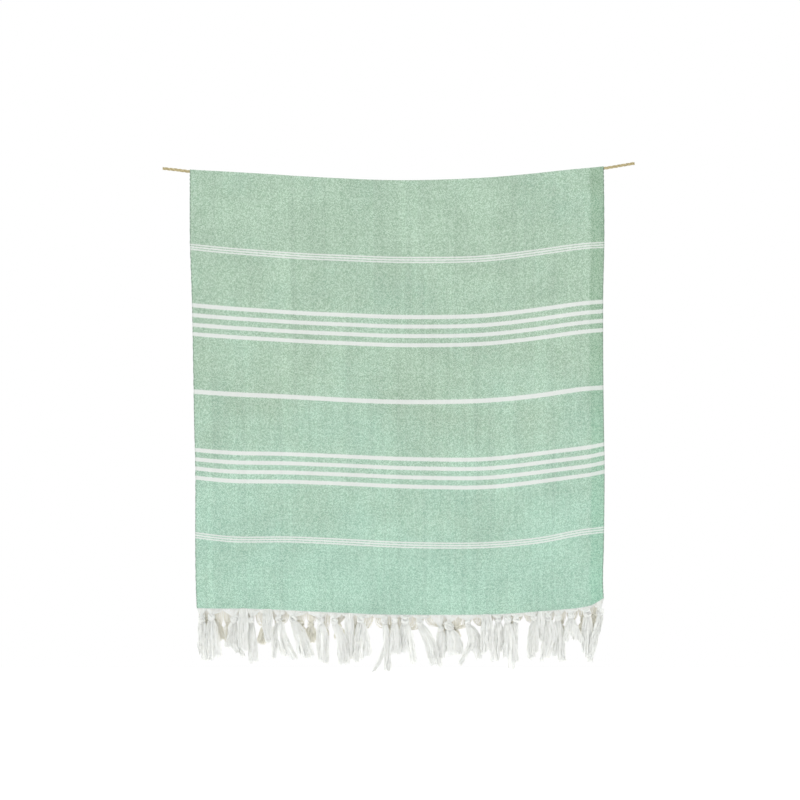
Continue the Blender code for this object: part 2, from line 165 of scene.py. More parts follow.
def ranged(tree, value, low, high, new_low=0.0, new_high=1.0, soft=False):
    """A value moved from one range to another, held at its ends."""
    inputs = {"Value": value, "From Min": low, "From Max": high, "To Min": new_low,
              "To Max": new_high}
    kind = "SMOOTHSTEP" if soft else "LINEAR"
    return put(tree, "ShaderNodeMapRange", inputs, interpolation_type=kind).outputs[0]


def noise_at(tree, place, detail=2.0, roughness=0.5, scale=1.0):
    """A soft noise at a place. Its first output is a number, its second a colour."""
    inputs = {"Vector": place, "Scale": scale, "Detail": detail, "Roughness": roughness}
    return put(tree, "ShaderNodeTexNoise", inputs).outputs


def chance_at(tree, place):
    """A chance from 0 to 1, another one for each place."""
    return put(tree, "ShaderNodeTexWhiteNoise", {"Vector": place},
               noise_dimensions="3D").outputs[0]


def mixed(tree, share, first, second, blend="MIX"):
    """A colour between two colours."""
    inputs = {0: share, 6: first, 7: second}
    return put(tree, "ShaderNodeMix", inputs, data_type="RGBA", blend_type=blend).outputs[2]


# %% [markdown]
# A group is a tree that others can use. Its sockets are listed with their start values, or with
# the word for their type. A Geometry Nodes tree always takes a shape and a material, and always
# ends by making its copies real, because only a real mesh can be kept.

# %% Helpers for groups
SOCKET_KINDS = {int: "NodeSocketInt", float: "NodeSocketFloat"}


def new_tree(name, kind, inputs, outputs):
    """An empty node group. Gives back the tree, what it is given and its end."""
    tree = bpy.data.node_groups.new(name, kind)
    for in_out, sockets in (("INPUT", inputs), ("OUTPUT", outputs)):
        for socket_name, start in sockets.items():
            socket_kind = SOCKET_KINDS.get(type(start)) or "NodeSocket" + start
            socket = tree.interface.new_socket(socket_name, in_out=in_out,
                                               socket_type=socket_kind)
            if in_out == "INPUT" and type(start) in SOCKET_KINDS:
                socket.default_value = start
    given = tree.nodes.new("NodeGroupInput").outputs
    return tree, given, tree.nodes.new("NodeGroupOutput")


def new_grower(name, sizes):
    """A Geometry Nodes tree that grows tubes on a path or a surface."""
    inputs = {"Geometry": "Geometry", **sizes, "Material": "Material"}
    return new_tree(name, "GeometryNodeTree", inputs, {"Geometry": "Geometry"})


def end_grower(tree, given, end, tubes, smooth):
    """Shade the tubes, make them real and give them their finish."""
    shaded = put(tree, "GeometryNodeSetShadeSmooth",
                 {"Geometry": tubes, "Shade Smooth": smooth}).outputs[0]
    whole = put(tree, "GeometryNodeRealizeInstances", {"Geometry": shaded}).outputs[0]
    finished = put(tree, "GeometryNodeSetMaterial",
                   {"Geometry": whole, "Material": given["Material"]}).outputs[0]
    feed(tree, end.inputs["Geometry"], finished)
    return tree


def remember(tree, geometry, name, value, domain="CURVE", kind="FLOAT"):
    """Keep a value on a shape, under a name."""
    return put(tree, "GeometryNodeStoreNamedAttribute",
               {"Geometry": geometry, "Name": name, "Value": value},
               data_type=kind, domain=domain).outputs[0]


def recall(tree, name):
    """A number kept under a name."""
    return put(tree, "GeometryNodeInputNamedAttribute", {"Name": name}).outputs[0]


def copied_lines(tree, given, count):
    """The given path with evenly spaced points, copied. Gives the lines and their numbers."""
    line = put(tree, "GeometryNodeResampleCurve",
               {"Curve": given["Geometry"], "Count": given["Points"]}).outputs[0]
    return put(tree, "GeometryNodeDuplicateElements",
               {"Geometry": line, "Amount": given[count]}, domain="SPLINE").outputs


def ring_direction(tree, first, second, angle):
    """A direction at an angle between two others that are square to each other."""
    return vector_calc(tree, "ADD", scaled(tree, first, calc(tree, "COSINE", angle)),
                       scaled(tree, second, calc(tree, "SINE", angle)))


def circle(tree, sides):
    """A round outline of radius 1."""
    return put(tree, "GeometryNodeCurvePrimitiveCircle",
               {"Resolution": sides, "Radius": 1.0}).outputs[0]


def tubes_along(tree, lines, outline, radius):
    """Closed tubes along lines."""
    return put(tree, "GeometryNodeCurveToMesh",
               {"Curve": lines, "Profile Curve": outline, "Scale": radius,
                "Fill Caps": True}).outputs[0]


# %% [markdown]
# A white room lights the towel from all sides. It is a little dimmer as a light than it looks
# in the picture, so that the background stays white and the yarns keep their tones.

# %% White room
SKY_SEEN = 1.0
SKY_LIGHT = 0.985

world = bpy.data.worlds.new("white_room")
bpy.context.scene.world = world
world.use_nodes = True
room = world.node_tree
seen = put(room, "ShaderNodeLightPath").outputs["Is Camera Ray"]
strength = put(
    room, "ShaderNodeMapRange", {"Value": seen, "To Min": SKY_LIGHT, "To Max": SKY_SEEN}
)
feed(room, room.nodes["Background"].inputs["Strength"], strength.outputs[0])
room.nodes["Background"].inputs["Color"].default_value = (1.0, 1.0, 1.0, 1.0)


# %% [markdown]
# A lamp far away shines evenly over the whole towel. The larger it is made, the softer are the
# shadows behind its folds and yarns.


# %% Soft lamps
def soft_lamp(name, azimuth, elevation, power, size):
    """A lamp far away. Azimuth 0 shines from the front and 90 from the right, in degrees."""
    data = bpy.data.lights.new(name, "SUN")
    data.energy = power
    data.angle = math.radians(size)
    lamp = bpy.data.objects.new(name, data)
    around, up = math.radians(azimuth), math.radians(elevation)
    towards = Vector((math.sin(around) * math.cos(up), -math.cos(around) * math.cos(up),
                      math.sin(up)))
    lamp.rotation_euler = towards.to_track_quat("Z", "Y").to_euler()
    bpy.context.scene.collection.objects.link(lamp)
    return lamp


soft_lamp("front_lamp", azimuth=-28.0, elevation=38.0, power=0.55, size=50.0)
soft_lamp("back_lamp", azimuth=160.0, elevation=35.0, power=0.5, size=50.0)

# %% [markdown]
# A pale floor far below closes the room, so that no view from above looks into nothing.

# %% Pale floor
FLOOR_DROP = 1.2                   # below the lowest tassel
FLOOR_SIZE = 14.0

floor_mesh = bpy.data.meshes.new("pale_floor")
floor_half = FLOOR_SIZE / 2
floor_z = cad_box[0].z - FLOOR_DROP
floor_mesh.from_pydata(
    [
        (VIEW_MIDDLE[0] + side * floor_half, depth * floor_half, floor_z)
        for side, depth in ((-1, -1), (1, -1), (1, 1), (-1, 1))
    ],
    [],
    [(0, 1, 2, 3)],
)
floor = bpy.data.objects.new("pale_floor", floor_mesh)
bpy.context.scene.collection.objects.link(floor)
floor_finish = bpy.data.materials.new("pale_floor")
floor_finish.use_nodes = True
floor_shader = floor_finish.node_tree.nodes["Principled BSDF"]
floor_shader.inputs["Base Color"].default_value = (0.9, 0.9, 0.9, 1.0)
floor_shader.inputs["Roughness"].default_value = 1.0
floor_shader.inputs["Emission Color"].default_value = (1.0, 1.0, 1.0, 1.0)
floor_shader.inputs["Emission Strength"].default_value = 0.22
floor_mesh.materials.append(floor_finish)
print("floor height:", round(floor_z, 3))

# %% [markdown]
# ## Grain that the fibres share
#
# Jute and cotton yarn both show fine fibres that run along the yarn. One node group draws them
# for both: long thin streaks made by stretching a noise along the fibre, and a finer grain on
# top. Each finish gives it its own coordinates and sizes.

# %% Node group for fibre streaks
FINE_GRAIN = 3.7                    # how much finer the grain is than the streaks


def make_fibre_streaks():
    """Streaks along a fibre. Coordinates are across, across and along."""
    tree, given, end = new_tree(
        "fibre_streaks", "ShaderNodeTree",
        {"Place": "Vector", "Streaks Across": 1.0, "Streaks Along": 1.0, "Grain": 0.3},
        {"Tone": 0.0, "Height": 0.0},
    )
    across, along = given["Streaks Across"], given["Streaks Along"]
    place = vector_calc(tree, "MULTIPLY", given["Place"], combined(tree, across, across, along))
    streaks = noise_at(tree, place, 3.0, 0.62)[0]
    fine = noise_at(tree, scaled(tree, place, FINE_GRAIN), 1.0)[0]
    tone = total(tree, streaks, swing(tree, fine, given["Grain"]))
    feed(tree, end.inputs["Tone"], tone)
    feed(tree, end.inputs["Height"], ranged(tree, tone, 0.3, 0.7))
    return tree


fibre_streaks = make_fibre_streaks()
print("shared group:", fibre_streaks.name)

# %% [markdown]
# Jute and cotton are matt, with a soft sheen from their loose fibres. Every finish starts from
# those values and then gets its own colours and relief.


# %% Start of a finish
def new_finish(name, roughness, sheen):
    """A matt finish with its tree and its shader. Gives back all three."""
    finish = bpy.data.materials.new(name)
    finish.use_nodes = True
    tree = finish.node_tree
    shader = tree.nodes["Principled BSDF"]
    shader.inputs["Roughness"].default_value = roughness
    shader.inputs["Sheen Weight"].default_value = sheen
    shader.inputs["Sheen Roughness"].default_value = 0.6
    shader.inputs["Specular IOR Level"].default_value = 0.15
    return finish, tree, shader


def streaks_on(tree, place, across, along, grain):
    """The shared fibre streaks, with a finish's own sizes. Gives back tone and height."""
    inputs = {"Place": place, "Streaks Across": across, "Streaks Along": along, "Grain": grain}
    made = put(tree, "ShaderNodeGroup", inputs, node_tree=fibre_streaks).outputs
    return made["Tone"], made["Height"]


def bumped(tree, shader, height, distance):
    """Relief on a shader's surface."""
    bump = put(tree, "ShaderNodeBump", {"Height": height, "Distance": distance, "Strength": 1.0})
    feed(tree, shader.inputs["Normal"], bump.outputs[0])


def attribute(tree, name):
    """A named attribute of the mesh, for a finish."""
    return put(tree, "ShaderNodeAttribute", attribute_name=name).outputs


# %% [markdown]
# ## The rope
#
# The rope is three jute plies twisted together. A solid bar with a bump would look smooth from
# the side, so each ply is its own tube here. Geometry Nodes take the rope's middle line, copy it
# once for each ply, and turn each copy round the line as it goes along.

# %% The rope's route
ROPE_DIAMETER = 6.5 * MM
ROPE_PLIES = 3
ROPE_LAY = 30.0 * MM                # along the rope, one full turn of a ply
# The sagging middle line: x and z. The towel's weight pulls it down in the middle.
ROPE_ROUTE = [
    (0.000, 0.0000), (0.030, -0.0033), (0.060, -0.0070), (0.130, -0.0110),
    (0.220, -0.0162), (0.310, -0.0220), (0.385, -0.0260), (0.460, -0.0292),
    (0.515, -0.0302), (0.570, -0.0298), (0.640, -0.0278), (0.720, -0.0235),
    (0.800, -0.0165), (0.880, -0.0080), (0.961, -0.0002), (0.995, 0.0052),
    (1.030, 0.0110),
]


def smooth(rows, at, column=1):
    """Read one column of a table as a smooth curve through its rows."""
    last = len(rows) - 1
    k = 0
    while k < last - 1 and at > rows[k + 1][0]:
        k += 1
    x0, x1 = rows[k][0], rows[k + 1][0]
    y0, y1 = rows[k][column], rows[k + 1][column]

    def slope(i):
        low, high = max(i - 1, 0), min(i + 1, last)
        return (rows[high][column] - rows[low][column]) / (rows[high][0] - rows[low][0])

    span = x1 - x0
    t = min(max((at - x0) / span, 0.0), 1.0)
    bend = (2 * t**3 - 3 * t**2 + 1) * y0 + (3 * t**2 - 2 * t**3) * y1
    return bend + span * ((t**3 - 2 * t**2 + t) * slope(k) + (t**3 - t**2) * slope(k + 1))


def rope_height(x):
    """Height of the rope's middle line at x."""
    return smooth(ROPE_ROUTE, x)


ROPE_STEPS = 120
rope_span = ROPE_ROUTE[-1][0]
rope_path = [(rope_span * k / ROPE_STEPS, 0.0, rope_height(rope_span * k / ROPE_STEPS))
             for k in range(ROPE_STEPS + 1)]


# %% [markdown]
# Thin pieces grow along paths. A path becomes a curve, a Geometry Nodes tree turns it into tubes,
# and the result is kept as a plain mesh.


# %% Helpers for pieces that follow a path
def paths_object(name, paths, kind="NURBS"):
    """A curve object with one spline for each path. A path's rows are x, y, z and radius."""
    data = bpy.data.curves.new(name, "CURVE")
    data.dimensions = "3D"
    for path in paths:
        spline = data.splines.new(kind)
        spline.points.add(len(path) - 1)
        for point, (x, y, z, radius) in zip(spline.points, path):
            point.co = (x, y, z, 1.0)
            point.radius = radius
        if kind == "NURBS":
            spline.order_u = min(4, len(path))
            spline.use_endpoint_u = True
    made = bpy.data.objects.new(name, data)
    bpy.context.scene.collection.objects.link(made)
    return made


def grown(name, source, tree, values):
    """Run a Geometry Nodes tree on an object and keep its result as a plain mesh object."""
    modifier = source.modifiers.new("grow", "NODES")
    modifier.node_group = tree
    for item in tree.interface.items_tree:
        if item.in_out == "INPUT" and item.name in values:
            modifier[item.identifier] = values[item.name]
    bpy.context.view_layer.update()
    graph = bpy.context.evaluated_depsgraph_get()
    mesh = bpy.data.meshes.new_from_object(
        source.evaluated_get(graph), preserve_all_data_layers=True, depsgraph=graph
    )
    source.modifiers.remove(modifier)
    if source.type == "CURVE":
        bpy.data.objects.remove(source, do_unlink=True)
    mesh.name = name
    made = bpy.data.objects.new(name, mesh)
    bpy.context.scene.collection.objects.link(made)
    mesh.calc_loop_triangles()
    print(f"{name}: {len(mesh.loop_triangles)} triangles")
    return made


# %% [markdown]
# The tree turns each ply round the middle line and makes it swell and thin a little. Each ply
# also gets a map made of a circle and a length, so that its fibres show no seam.

# %% Geometry Nodes for a twisted rope
PLY_SIDES = 10
LUMPS_PER_M = 90.0
PLY_STEP = 7.3                      # far enough apart that no two plies have the same lumps
GRAIN_STEP = 3.1                    # and the same for their grain, in m along the rope


def make_twisted_rope():
    """Plies that turn round one middle line, each with a seamless map for its fibres."""
    tree, given, end = new_grower("twisted_rope", {
        "Plies": 3, "Lay": 0.03, "Ply Place": 0.0016, "Ply Radius": 0.0016, "Unevenness": 0.1,
        "Fibre Twist": -200.0, "Points": 500,
    })
    lines, number = copied_lines(tree, given, "Plies")
    plies = remember(tree, lines, "ply", number)
    spline = put(tree, "GeometryNodeSplineParameter").outputs
    plies = remember(tree, plies, "along", spline["Length"], "POINT")
    ply = recall(tree, "ply")
    turns = total(tree, calc(tree, "DIVIDE", spline["Length"], given["Lay"]),
                  calc(tree, "DIVIDE", ply, given["Plies"]))
    tangent = put(tree, "GeometryNodeInputTangent").outputs[0]
    up = vector_calc(tree, "CROSS_PRODUCT", tangent, (0.0, 1.0, 0.0))
    outwards = ring_direction(tree, (0.0, 1.0, 0.0), up, product(tree, turns, math.tau))
    lump = noise_at(tree, combined(tree, product(tree, spline["Length"], LUMPS_PER_M),
                                   product(tree, ply, PLY_STEP)))[0]
    size = total(tree, 1.0, swing(tree, lump, product(tree, given["Unevenness"], 2.0)))
    offset = scaled(tree, outwards, product(tree, given["Ply Place"], size))
    twisted = put(tree, "GeometryNodeSetPosition",
                  {"Geometry": plies, "Offset": offset}).outputs[0]

    outline = circle(tree, PLY_SIDES)
    around = product(tree, spline["Factor"], math.tau)
    for name, part in (("around_x", "COSINE"), ("around_y", "SINE")):
        outline = remember(tree, outline, name, calc(tree, part, around), "POINT")
    tubes = tubes_along(tree, twisted, outline, product(tree, given["Ply Radius"], size))
    way_round = calc(tree, "ARCTAN2", recall(tree, "around_y"), recall(tree, "around_x"))
    along = recall(tree, "along")
    turned = total(tree, way_round, product(tree, along, given["Fibre Twist"]))
    place = combined(tree, calc(tree, "COSINE", turned), calc(tree, "SINE", turned),
                     total(tree, along, product(tree, ply, GRAIN_STEP)))
    tubes = remember(tree, tubes, "fibre_space", place, "POINT", "FLOAT_VECTOR")
    return end_grower(tree, given, end, tubes, True)


twisted_rope = make_twisted_rope()
print("tree:", twisted_rope.name, "with", len(twisted_rope.nodes), "nodes")

# %% [markdown]
# ### Jute
#
# Jute is golden brown, matt and coarse. Its long fibres lie nearly straight along the rope, some
# pale and some dark, and here and there a stretch of the rope has bleached.

# %% Jute finish
JUTE_DARK = (0.27, 0.215, 0.10, 1.0)
JUTE_PALE = (0.74, 0.645, 0.365, 1.0)
JUTE_BLEACHED = (0.68, 0.595, 0.37, 1.0)
BLEACHED_PER_M = 45.0
JUTE_RELIEF = 0.4 * MM


def make_jute():
    """Streaky golden fibre with paler stretches."""
    finish, tree, shader = new_finish("jute_fibre", 0.85, 0.1)
    place = attribute(tree, "fibre_space")["Vector"]
    tone, height = streaks_on(tree, place, 4.0, 160.0, 0.5)
    along = put(tree, "ShaderNodeSeparateXYZ", {0: place}).outputs[2]
    patches = noise_at(tree, combined(tree, z=along), scale=BLEACHED_PER_M)[0]
    colour = mixed(tree, ranged(tree, tone, 0.32, 0.68), JUTE_DARK, JUTE_PALE)
    colour = mixed(tree, ranged(tree, patches, 0.45, 0.75, 0.0, 0.55), colour, JUTE_BLEACHED)
    feed(tree, shader.inputs["Base Color"], colour)
    feed(tree, shader.inputs["Roughness"], ranged(tree, tone, 0.3, 0.7, 0.95, 0.72))
    bumped(tree, shader, height, JUTE_RELIEF)
    return finish


jute = make_jute()
print("rope finish:", jute.name)

# %% [markdown]
# Three plies, with one full turn every 30 mm, make the 6.5 mm rope.

# %% The rope itself
rope = grown(
    "rope_plies",
    paths_object("rope_line", [[(x, y, z, 1.0) for x, y, z in rope_path]], "POLY"),
    twisted_rope,
    {"Plies": ROPE_PLIES, "Lay": ROPE_LAY, "Ply Place": 1.68 * MM, "Ply Radius": 1.62 * MM,
     "Unevenness": 0.09, "Fibre Twist": -190.0, "Points": 620, "Material": jute},
)

# %% [markdown]
# Loose fibres stand off any jute rope. They are scattered over the plies as short bent hairs,
# each one an instance of the same small curve, turned and sized at random.

# %% Geometry Nodes for loose fibres
HAIR_BEND = {"Resolution": 4, "Start": (0.0, 0.0, 0.0), "Middle": (0.25, 0.0, 0.35),
             "End": (0.9, 0.0, 0.4)}
HAIR_SIDES = 3
HAIR_TAPER = 0.7


def make_loose_fibres():
    """Short bent hairs that stand off a surface."""
    tree, given, end = new_grower("loose_fibres", {
        "Count per m2": 20000.0, "Length": 0.004, "Thickness": 0.00012, "Seed": 4,
    })
    spots = put(tree, "GeometryNodeDistributePointsOnFaces",
                {"Mesh": given["Geometry"], "Density": given["Count per m2"],
                 "Seed": given["Seed"]}).outputs
    hair = put(tree, "GeometryNodeCurveQuadraticBezier", HAIR_BEND).outputs[0]
    turn = put(tree, "FunctionNodeRandomValue",
               {"Min": (-0.5, -0.5, 0.0), "Max": (0.5, 0.5, math.tau),
                "Seed": given["Seed"]}, data_type="FLOAT_VECTOR").outputs[0]
    aligned = put(tree, "FunctionNodeAlignRotationToVector",
                  {"Rotation": turn, "Vector": spots["Normal"]}, axis="Z").outputs[0]
    size = put(tree, "FunctionNodeRandomValue", {2: 0.5, 3: 1.3, "Seed": given["Seed"]}).outputs[1]
    hairs = put(tree, "GeometryNodeInstanceOnPoints",
                {"Points": spots[0], "Instance": hair, "Rotation": aligned,
                 "Scale": product(tree, size, given["Length"])}).outputs[0]
    lines = put(tree, "GeometryNodeRealizeInstances", {"Geometry": hairs}).outputs[0]
    factor = put(tree, "GeometryNodeSplineParameter").outputs["Factor"]
    thickness = product(tree, given["Thickness"],
                        rest_of(tree, product(tree, factor, HAIR_TAPER)))
    tubes = tubes_along(tree, lines, circle(tree, HAIR_SIDES), thickness)
    return end_grower(tree, given, end, tubes, True)


loose_fibres = make_loose_fibres()
rope_hairs = grown(
    "rope_hairs", rope, loose_fibres,
    {"Count per m2": 16000.0, "Length": 4.2 * MM, "Thickness": 0.11 * MM, "Seed": 4,
     "Material": jute},
)

# %% [markdown]
# ## The cloth
#
# The towel is one length of cloth, so it is one grid of points. The grid runs from the front
# hem, up over the rope and down to the back hem. A formula places each point, because a towel
# that hangs from a rope has a regular shape: it closes up below the rope, its selvedges draw in,
# and soft folds deepen as they run down.

# %% The cloth's measures
FRONT, BACK = -1, 1                 # the side of the rope on which something hangs
TOWEL_LEFT = 59.5 * MM              # where the left selvedge crosses the rope
TOWEL_WIDTH = 903.0 * MM
SHEET_THICKNESS = 1.3 * MM
REST_ON_ROPE = 0.15 * MM            # air between the rope and the sheet that lies on it
LAYER_SPACING = 5.2 * MM            # between the two layers, well below the rope
CLOSING_LENGTH = 70.0 * MM
BACK_HEM_RISE = 2.0 * MM            # how much higher the back end hangs
FOLD_RADIUS = ROPE_DIAMETER / 2 + REST_ON_ROPE + SHEET_THICKNESS / 2
FOLD_RISE = FOLD_RADIUS + SHEET_THICKNESS / 2   # the fold's top above the rope's middle line

# How far each selvedge is drawn in: mm below the rope, left mm, right mm.
SELVEDGES = [
    (0, 0.0, 0.0), (150, 0.0, -2.5), (270, 4.0, 0.0), (420, 7.0, 0.0), (560, 9.0, -1.5),
    (650, 11.0, -3.0), (820, 11.0, -1.5), (900, 12.0, 0.5), (965, 14.5, -2.5),
]
# The front hem: share of the width from the left, mm below the origin.
FRONT_HEM = [
    (0.00, 963.0), (0.13, 964.0), (0.32, 970.5), (0.50, 977.0), (0.72, 975.5),
    (0.84, 969.5), (0.93, 962.5), (0.97, 955.0), (1.00, 941.0),
]
# Soft folds: share of the width, half width as a share, depth mm, mm below the rope at the start.
SOFT_FOLDS = [
    (0.17, 0.10, 4.0, 150), (0.36, 0.11, -3.5, 80), (0.55, 0.10, 4.5, 250),
    (0.73, 0.10, -3.5, 120), (0.88, 0.07, 3.0, 300),
]
FOLD_GROWTH = 500.0 * MM
# Edge strips that turn back: side, share of the width at the crease, depth mm, start mm, growth.
TURNED_EDGES = [("left", 0.045, 6.0, 430, 250), ("right", 0.034, 8.0, 20, 120)]


def ease(t):
    """0 to 1 with soft ends."""
    t = min(max(t, 0.0), 1.0)
    return t * t * (3 - 2 * t)


def hem_drop(across):
    """Depth of the front hem below the origin."""
    return smooth(FRONT_HEM, across) * MM


def across_to_x(across, drop):
    """X at a share of the width, on a row at a depth below the rope."""
    left = TOWEL_LEFT + smooth(SELVEDGES, drop / MM, 1) * MM
    right = TOWEL_LEFT + TOWEL_WIDTH - smooth(SELVEDGES, drop / MM, 2) * MM
    return left + (right - left) * across


def pushed_back(across, drop):
    """How far the folds push both layers out of their plane, towards +Y."""
    push = 0.0
    for middle, half_width, depth, start in SOFT_FOLDS:
        reach = (across - middle) / half_width
        grown_by = ease((drop - start * MM) / FOLD_GROWTH)
        push += depth * MM * grown_by * math.exp(-reach * reach)
    for side, crease, depth, start, growth in TURNED_EDGES:
        from_edge = across if side == "left" else 1.0 - across
        turned = max(0.0, 1.0 - from_edge / crease)
        push += depth * MM * turned * ease((drop - start * MM) / (growth * MM))
    return push


print("hem below the origin, mm:", [round(hem_drop(a / 4) / MM) for a in range(5)])

# %% [markdown]
# Woven cotton never hangs quite flat. Slow ripples run down it, and each knot of the fringe tugs
# at the hem. Both are too fine for the solid, so they are added here, about a millimetre deep,
# to give the light something to catch.

# %% Ripples and the pull of the knots
RIPPLE_DEPTH = 1.1 * MM
RIPPLE_START = 12 * MM              # below the rope
RIPPLE_GROWTH = 150 * MM
HEM_PUCKER = 0.9 * MM
PUCKER_REACH = 22.0 * MM
PUCKER_HALF_WAVE = 18 * MM          # from a knot to the flat place beside it
RIPPLES = (13.0, 2.6, 3.0)          # how many across the width and down a metre, and a seed
FINE_RIPPLES = (41.0, 7.0, 9.0)
FINE_RIPPLE_SHARE = 0.35
BACK_RIPPLE_STEP = 5.0              # keeps the back's ripples apart from the front's
PUCKER_FADED = 0.01                 # a share of its depth that is too small to build

# The front tassels, left to right, in mm: the knot's place from the left selvedge, the knot
# below the hem, the knot's width (0 is a bunch without a knot), and three locks. A lock is its
# middle (right of the knot, below the hem), its tip (the same) and its width.
FRONT_TASSELS = [
    (11, 20, 17, ((-2, 69, 1, 99, 16), (3, 71, 6, 110, 17), (9, 69, 14, 110, 17))),
    (33, 17, 16, ((-5, 68, -4, 111, 17), (3, 68, 3, 107, 17), (11, 66, 18, 101, 17))),
    (83, 20, 17, ((-8, 50, -15, 84, 19), (-3, 70, 10, 91, 17), (2, 72, 22, 104, 12))),
    (102, 17, 0, ((-5, 55, -3, 84, 14), (1, 57, 2, 88, 15), (6, 55, 8, 88, 14))),
    (120, 22, 14, ((-2, 78, -2, 117, 12), (2, 67, 3, 107, 15), (6, 78, 10, 115, 14))),
    (156, 15, 0, ((-5, 35, 0, 61, 13), (0, 37, 3, 70, 15), (5, 35, 6, 64, 13))),
    (180, 18, 15, ((-10, 71, -10, 105, 15), (0, 60, 17, 100, 19), (11, 62, 37, 108, 19))),
    (212, 16, 17, ((11, 59, 13, 93, 17), (16, 63, 25, 102, 20), (28, 63, 42, 101, 20))),
    (272, 16, 16, ((-4, 64, -2, 104, 14), (3, 64, 4, 107, 16), (12, 56, 11, 110, 14))),
    (302, 17, 15, ((14, 55, 14, 107, 16), (17, 58, 19, 112, 17), (21, 58, 28, 109, 16))),
    (333, 10, 0, ((-3, 48, -1, 92, 13), (1, 48, 7, 99, 15), (5, 53, 13, 95, 13))),
    (359, 10, 16, ((-9, 62, -10, 103, 17), (1, 58, 2, 96, 20), (14, 60, 18, 91, 19))),
    (411, 10, 15, ((8, 58, -25, 124, 12), (5, 66, 3, 123, 15), (9, 63, 11, 123, 12))),
    (433, 10, 14, ((-4, 46, -7, 82, 13), (1, 44, 1, 79, 15), (6, 46, 9, 81, 13))),
    (456, 10, 17, ((-11, 53, -19, 84, 15), (-3, 55, -6, 80, 17), (10, 57, 19, 107, 19))),
    (488, 13, 16, ((19, 62, 29, 108, 16), (22, 59, 33, 101, 17), (30, 62, 44, 110, 18))),
    (533, 28, 13, ((-3, 54, -3, 79, 13), (2, 54, 6, 91, 15), (7, 52, 11, 77, 13))),
    (552, 22, 20, ((3, 55, 3, 87, 17), (12, 55, 12, 84, 20), (22, 58, 26, 82, 17))),
    (592, 15, 13, ((10, 56, -19, 107, 13), (15, 48, 10, 79, 15), (22, 50, 22, 97, 19))),
    (634, 10, 0, ((-8, 48, -8, 85, 15), (0, 46, 0, 74, 17), (10, 61, 12, 101, 14))),
    (658, 10, 15, ((-7, 58, -1, 101, 14), (0, 47, 3, 82, 20), (7, 47, 10, 79, 15))),
    (679, 10, 16, ((-3, 51, -5, 93, 17), (6, 64, 8, 118, 19), (12, 66, 21, 104, 15))),
    (697, 11, 14, ((-4, 50, -5, 82, 13), (-3, 45, -2, 74, 11), (-1, 50, 0, 82, 9))),
    (737, 10, 14, ((-11, 63, -10, 101, 14), (-4, 61, -3, 96, 14), (2, 52, 4, 86, 14))),
    (752, 10, 0, ((-4, 33, -1, 57, 11), (0, 37, 1, 63, 13), (4, 33, 2, 57, 11))),
    (768, 12, 15, ((-7, 63, -17, 107, 17), (5, 57, -4, 101, 20), (12, 44, 6, 84, 18))),
    (789, 15, 14, ((-5, 66, -9, 99, 15), (2, 63, 6, 111, 17), (9, 68, 13, 110, 14))),
    (817, 14, 15, ((-8, 40, -12, 69, 17), (2, 40, 7, 64, 17), (12, 45, 23, 72, 15))),
    (852, 12, 17, ((-5, 56, -6, 100, 15), (1, 65, 2, 111, 17), (8, 67, 7, 119, 16))),
    (882, 22, 18, ((-12, 81, -26, 126, 14), (-10, 64, -21, 107, 16), (-4, 51, -15, 84, 14))),
]


def ripple(across, drop, side):
    """Slow unevenness of one layer, in long vertical streaks."""
    slow, fine = (
        noise.noise(Vector((across * wide, drop * down, seed + side * BACK_RIPPLE_STEP)))
        for wide, down, seed in (RIPPLES, FINE_RIPPLES)
    )
    grown_by = ease((drop - RIPPLE_START) / RIPPLE_GROWTH)
    return grown_by * RIPPLE_DEPTH * (slow + FINE_RIPPLE_SHARE * fine)


def pucker(from_left, to_hem):
    """The small waves of the hem between one knot and the next."""
    fade = math.exp(-((to_hem / PUCKER_REACH) ** 2))
    if fade < PUCKER_FADED:
        return 0.0
    nearest = min(abs(from_left - tassel[0] * MM) for tassel in FRONT_TASSELS)
    return fade * HEM_PUCKER * math.cos(math.pi * min(nearest / PUCKER_HALF_WAVE, 1.0))


def hem_below_rope(across, side):
    """Depth of the hem below the rope, on the front or the back."""
    hem = hem_drop(across) - (BACK_HEM_RISE if side == BACK else 0.0)
    return hem + rope_height(across_to_x(across, 0.0))


def sheet_point(across, drop, side):
    """A point of the hanging cloth, at a depth below the rope on one side of it."""
    closing = math.exp(-((drop / CLOSING_LENGTH) ** 2))
    apart = LAYER_SPACING / 2 + (FOLD_RADIUS - LAYER_SPACING / 2) * closing
    y = side * apart + pushed_back(across, drop) + ripple(across, drop, side)
    y += pucker(across * TOWEL_WIDTH, hem_below_rope(across, side) - drop)
    return across_to_x(across, drop), y, rope_height(across_to_x(across, 0.0)) - drop


print("a point at the middle of the hem:", [round(v / MM, 1) for v in sheet_point(0.5, 0.94, FRONT)])

# %% [markdown]
# The grid has one column for each place across the cloth and is finer by the selvedges, the rope
# and the hem. Each point also gets its place on the flat cloth, so that stripes and threads
# follow the cloth and not the room.

# %% The grid of the cloth
COLUMNS = 172
EDGE_CROWDING = 0.25                # how strongly the columns crowd towards the selvedges
FOLD_STEPS = 10
ROPE_ROWS, MIDDLE_ROWS, HEM_ROWS = 9, 66, 12
ROPE_ZONE, HEM_ZONE = 36 * MM, 42 * MM
ROPE_CROWDING = 1.2
EDGE_SCALLOP = 0.45 * MM            # the weft turns round each selvedge in small loops
SCALLOP_SHARE = 0.003               # of the width, at each selvedge
SCALLOP_PITCH = 8.7 * MM
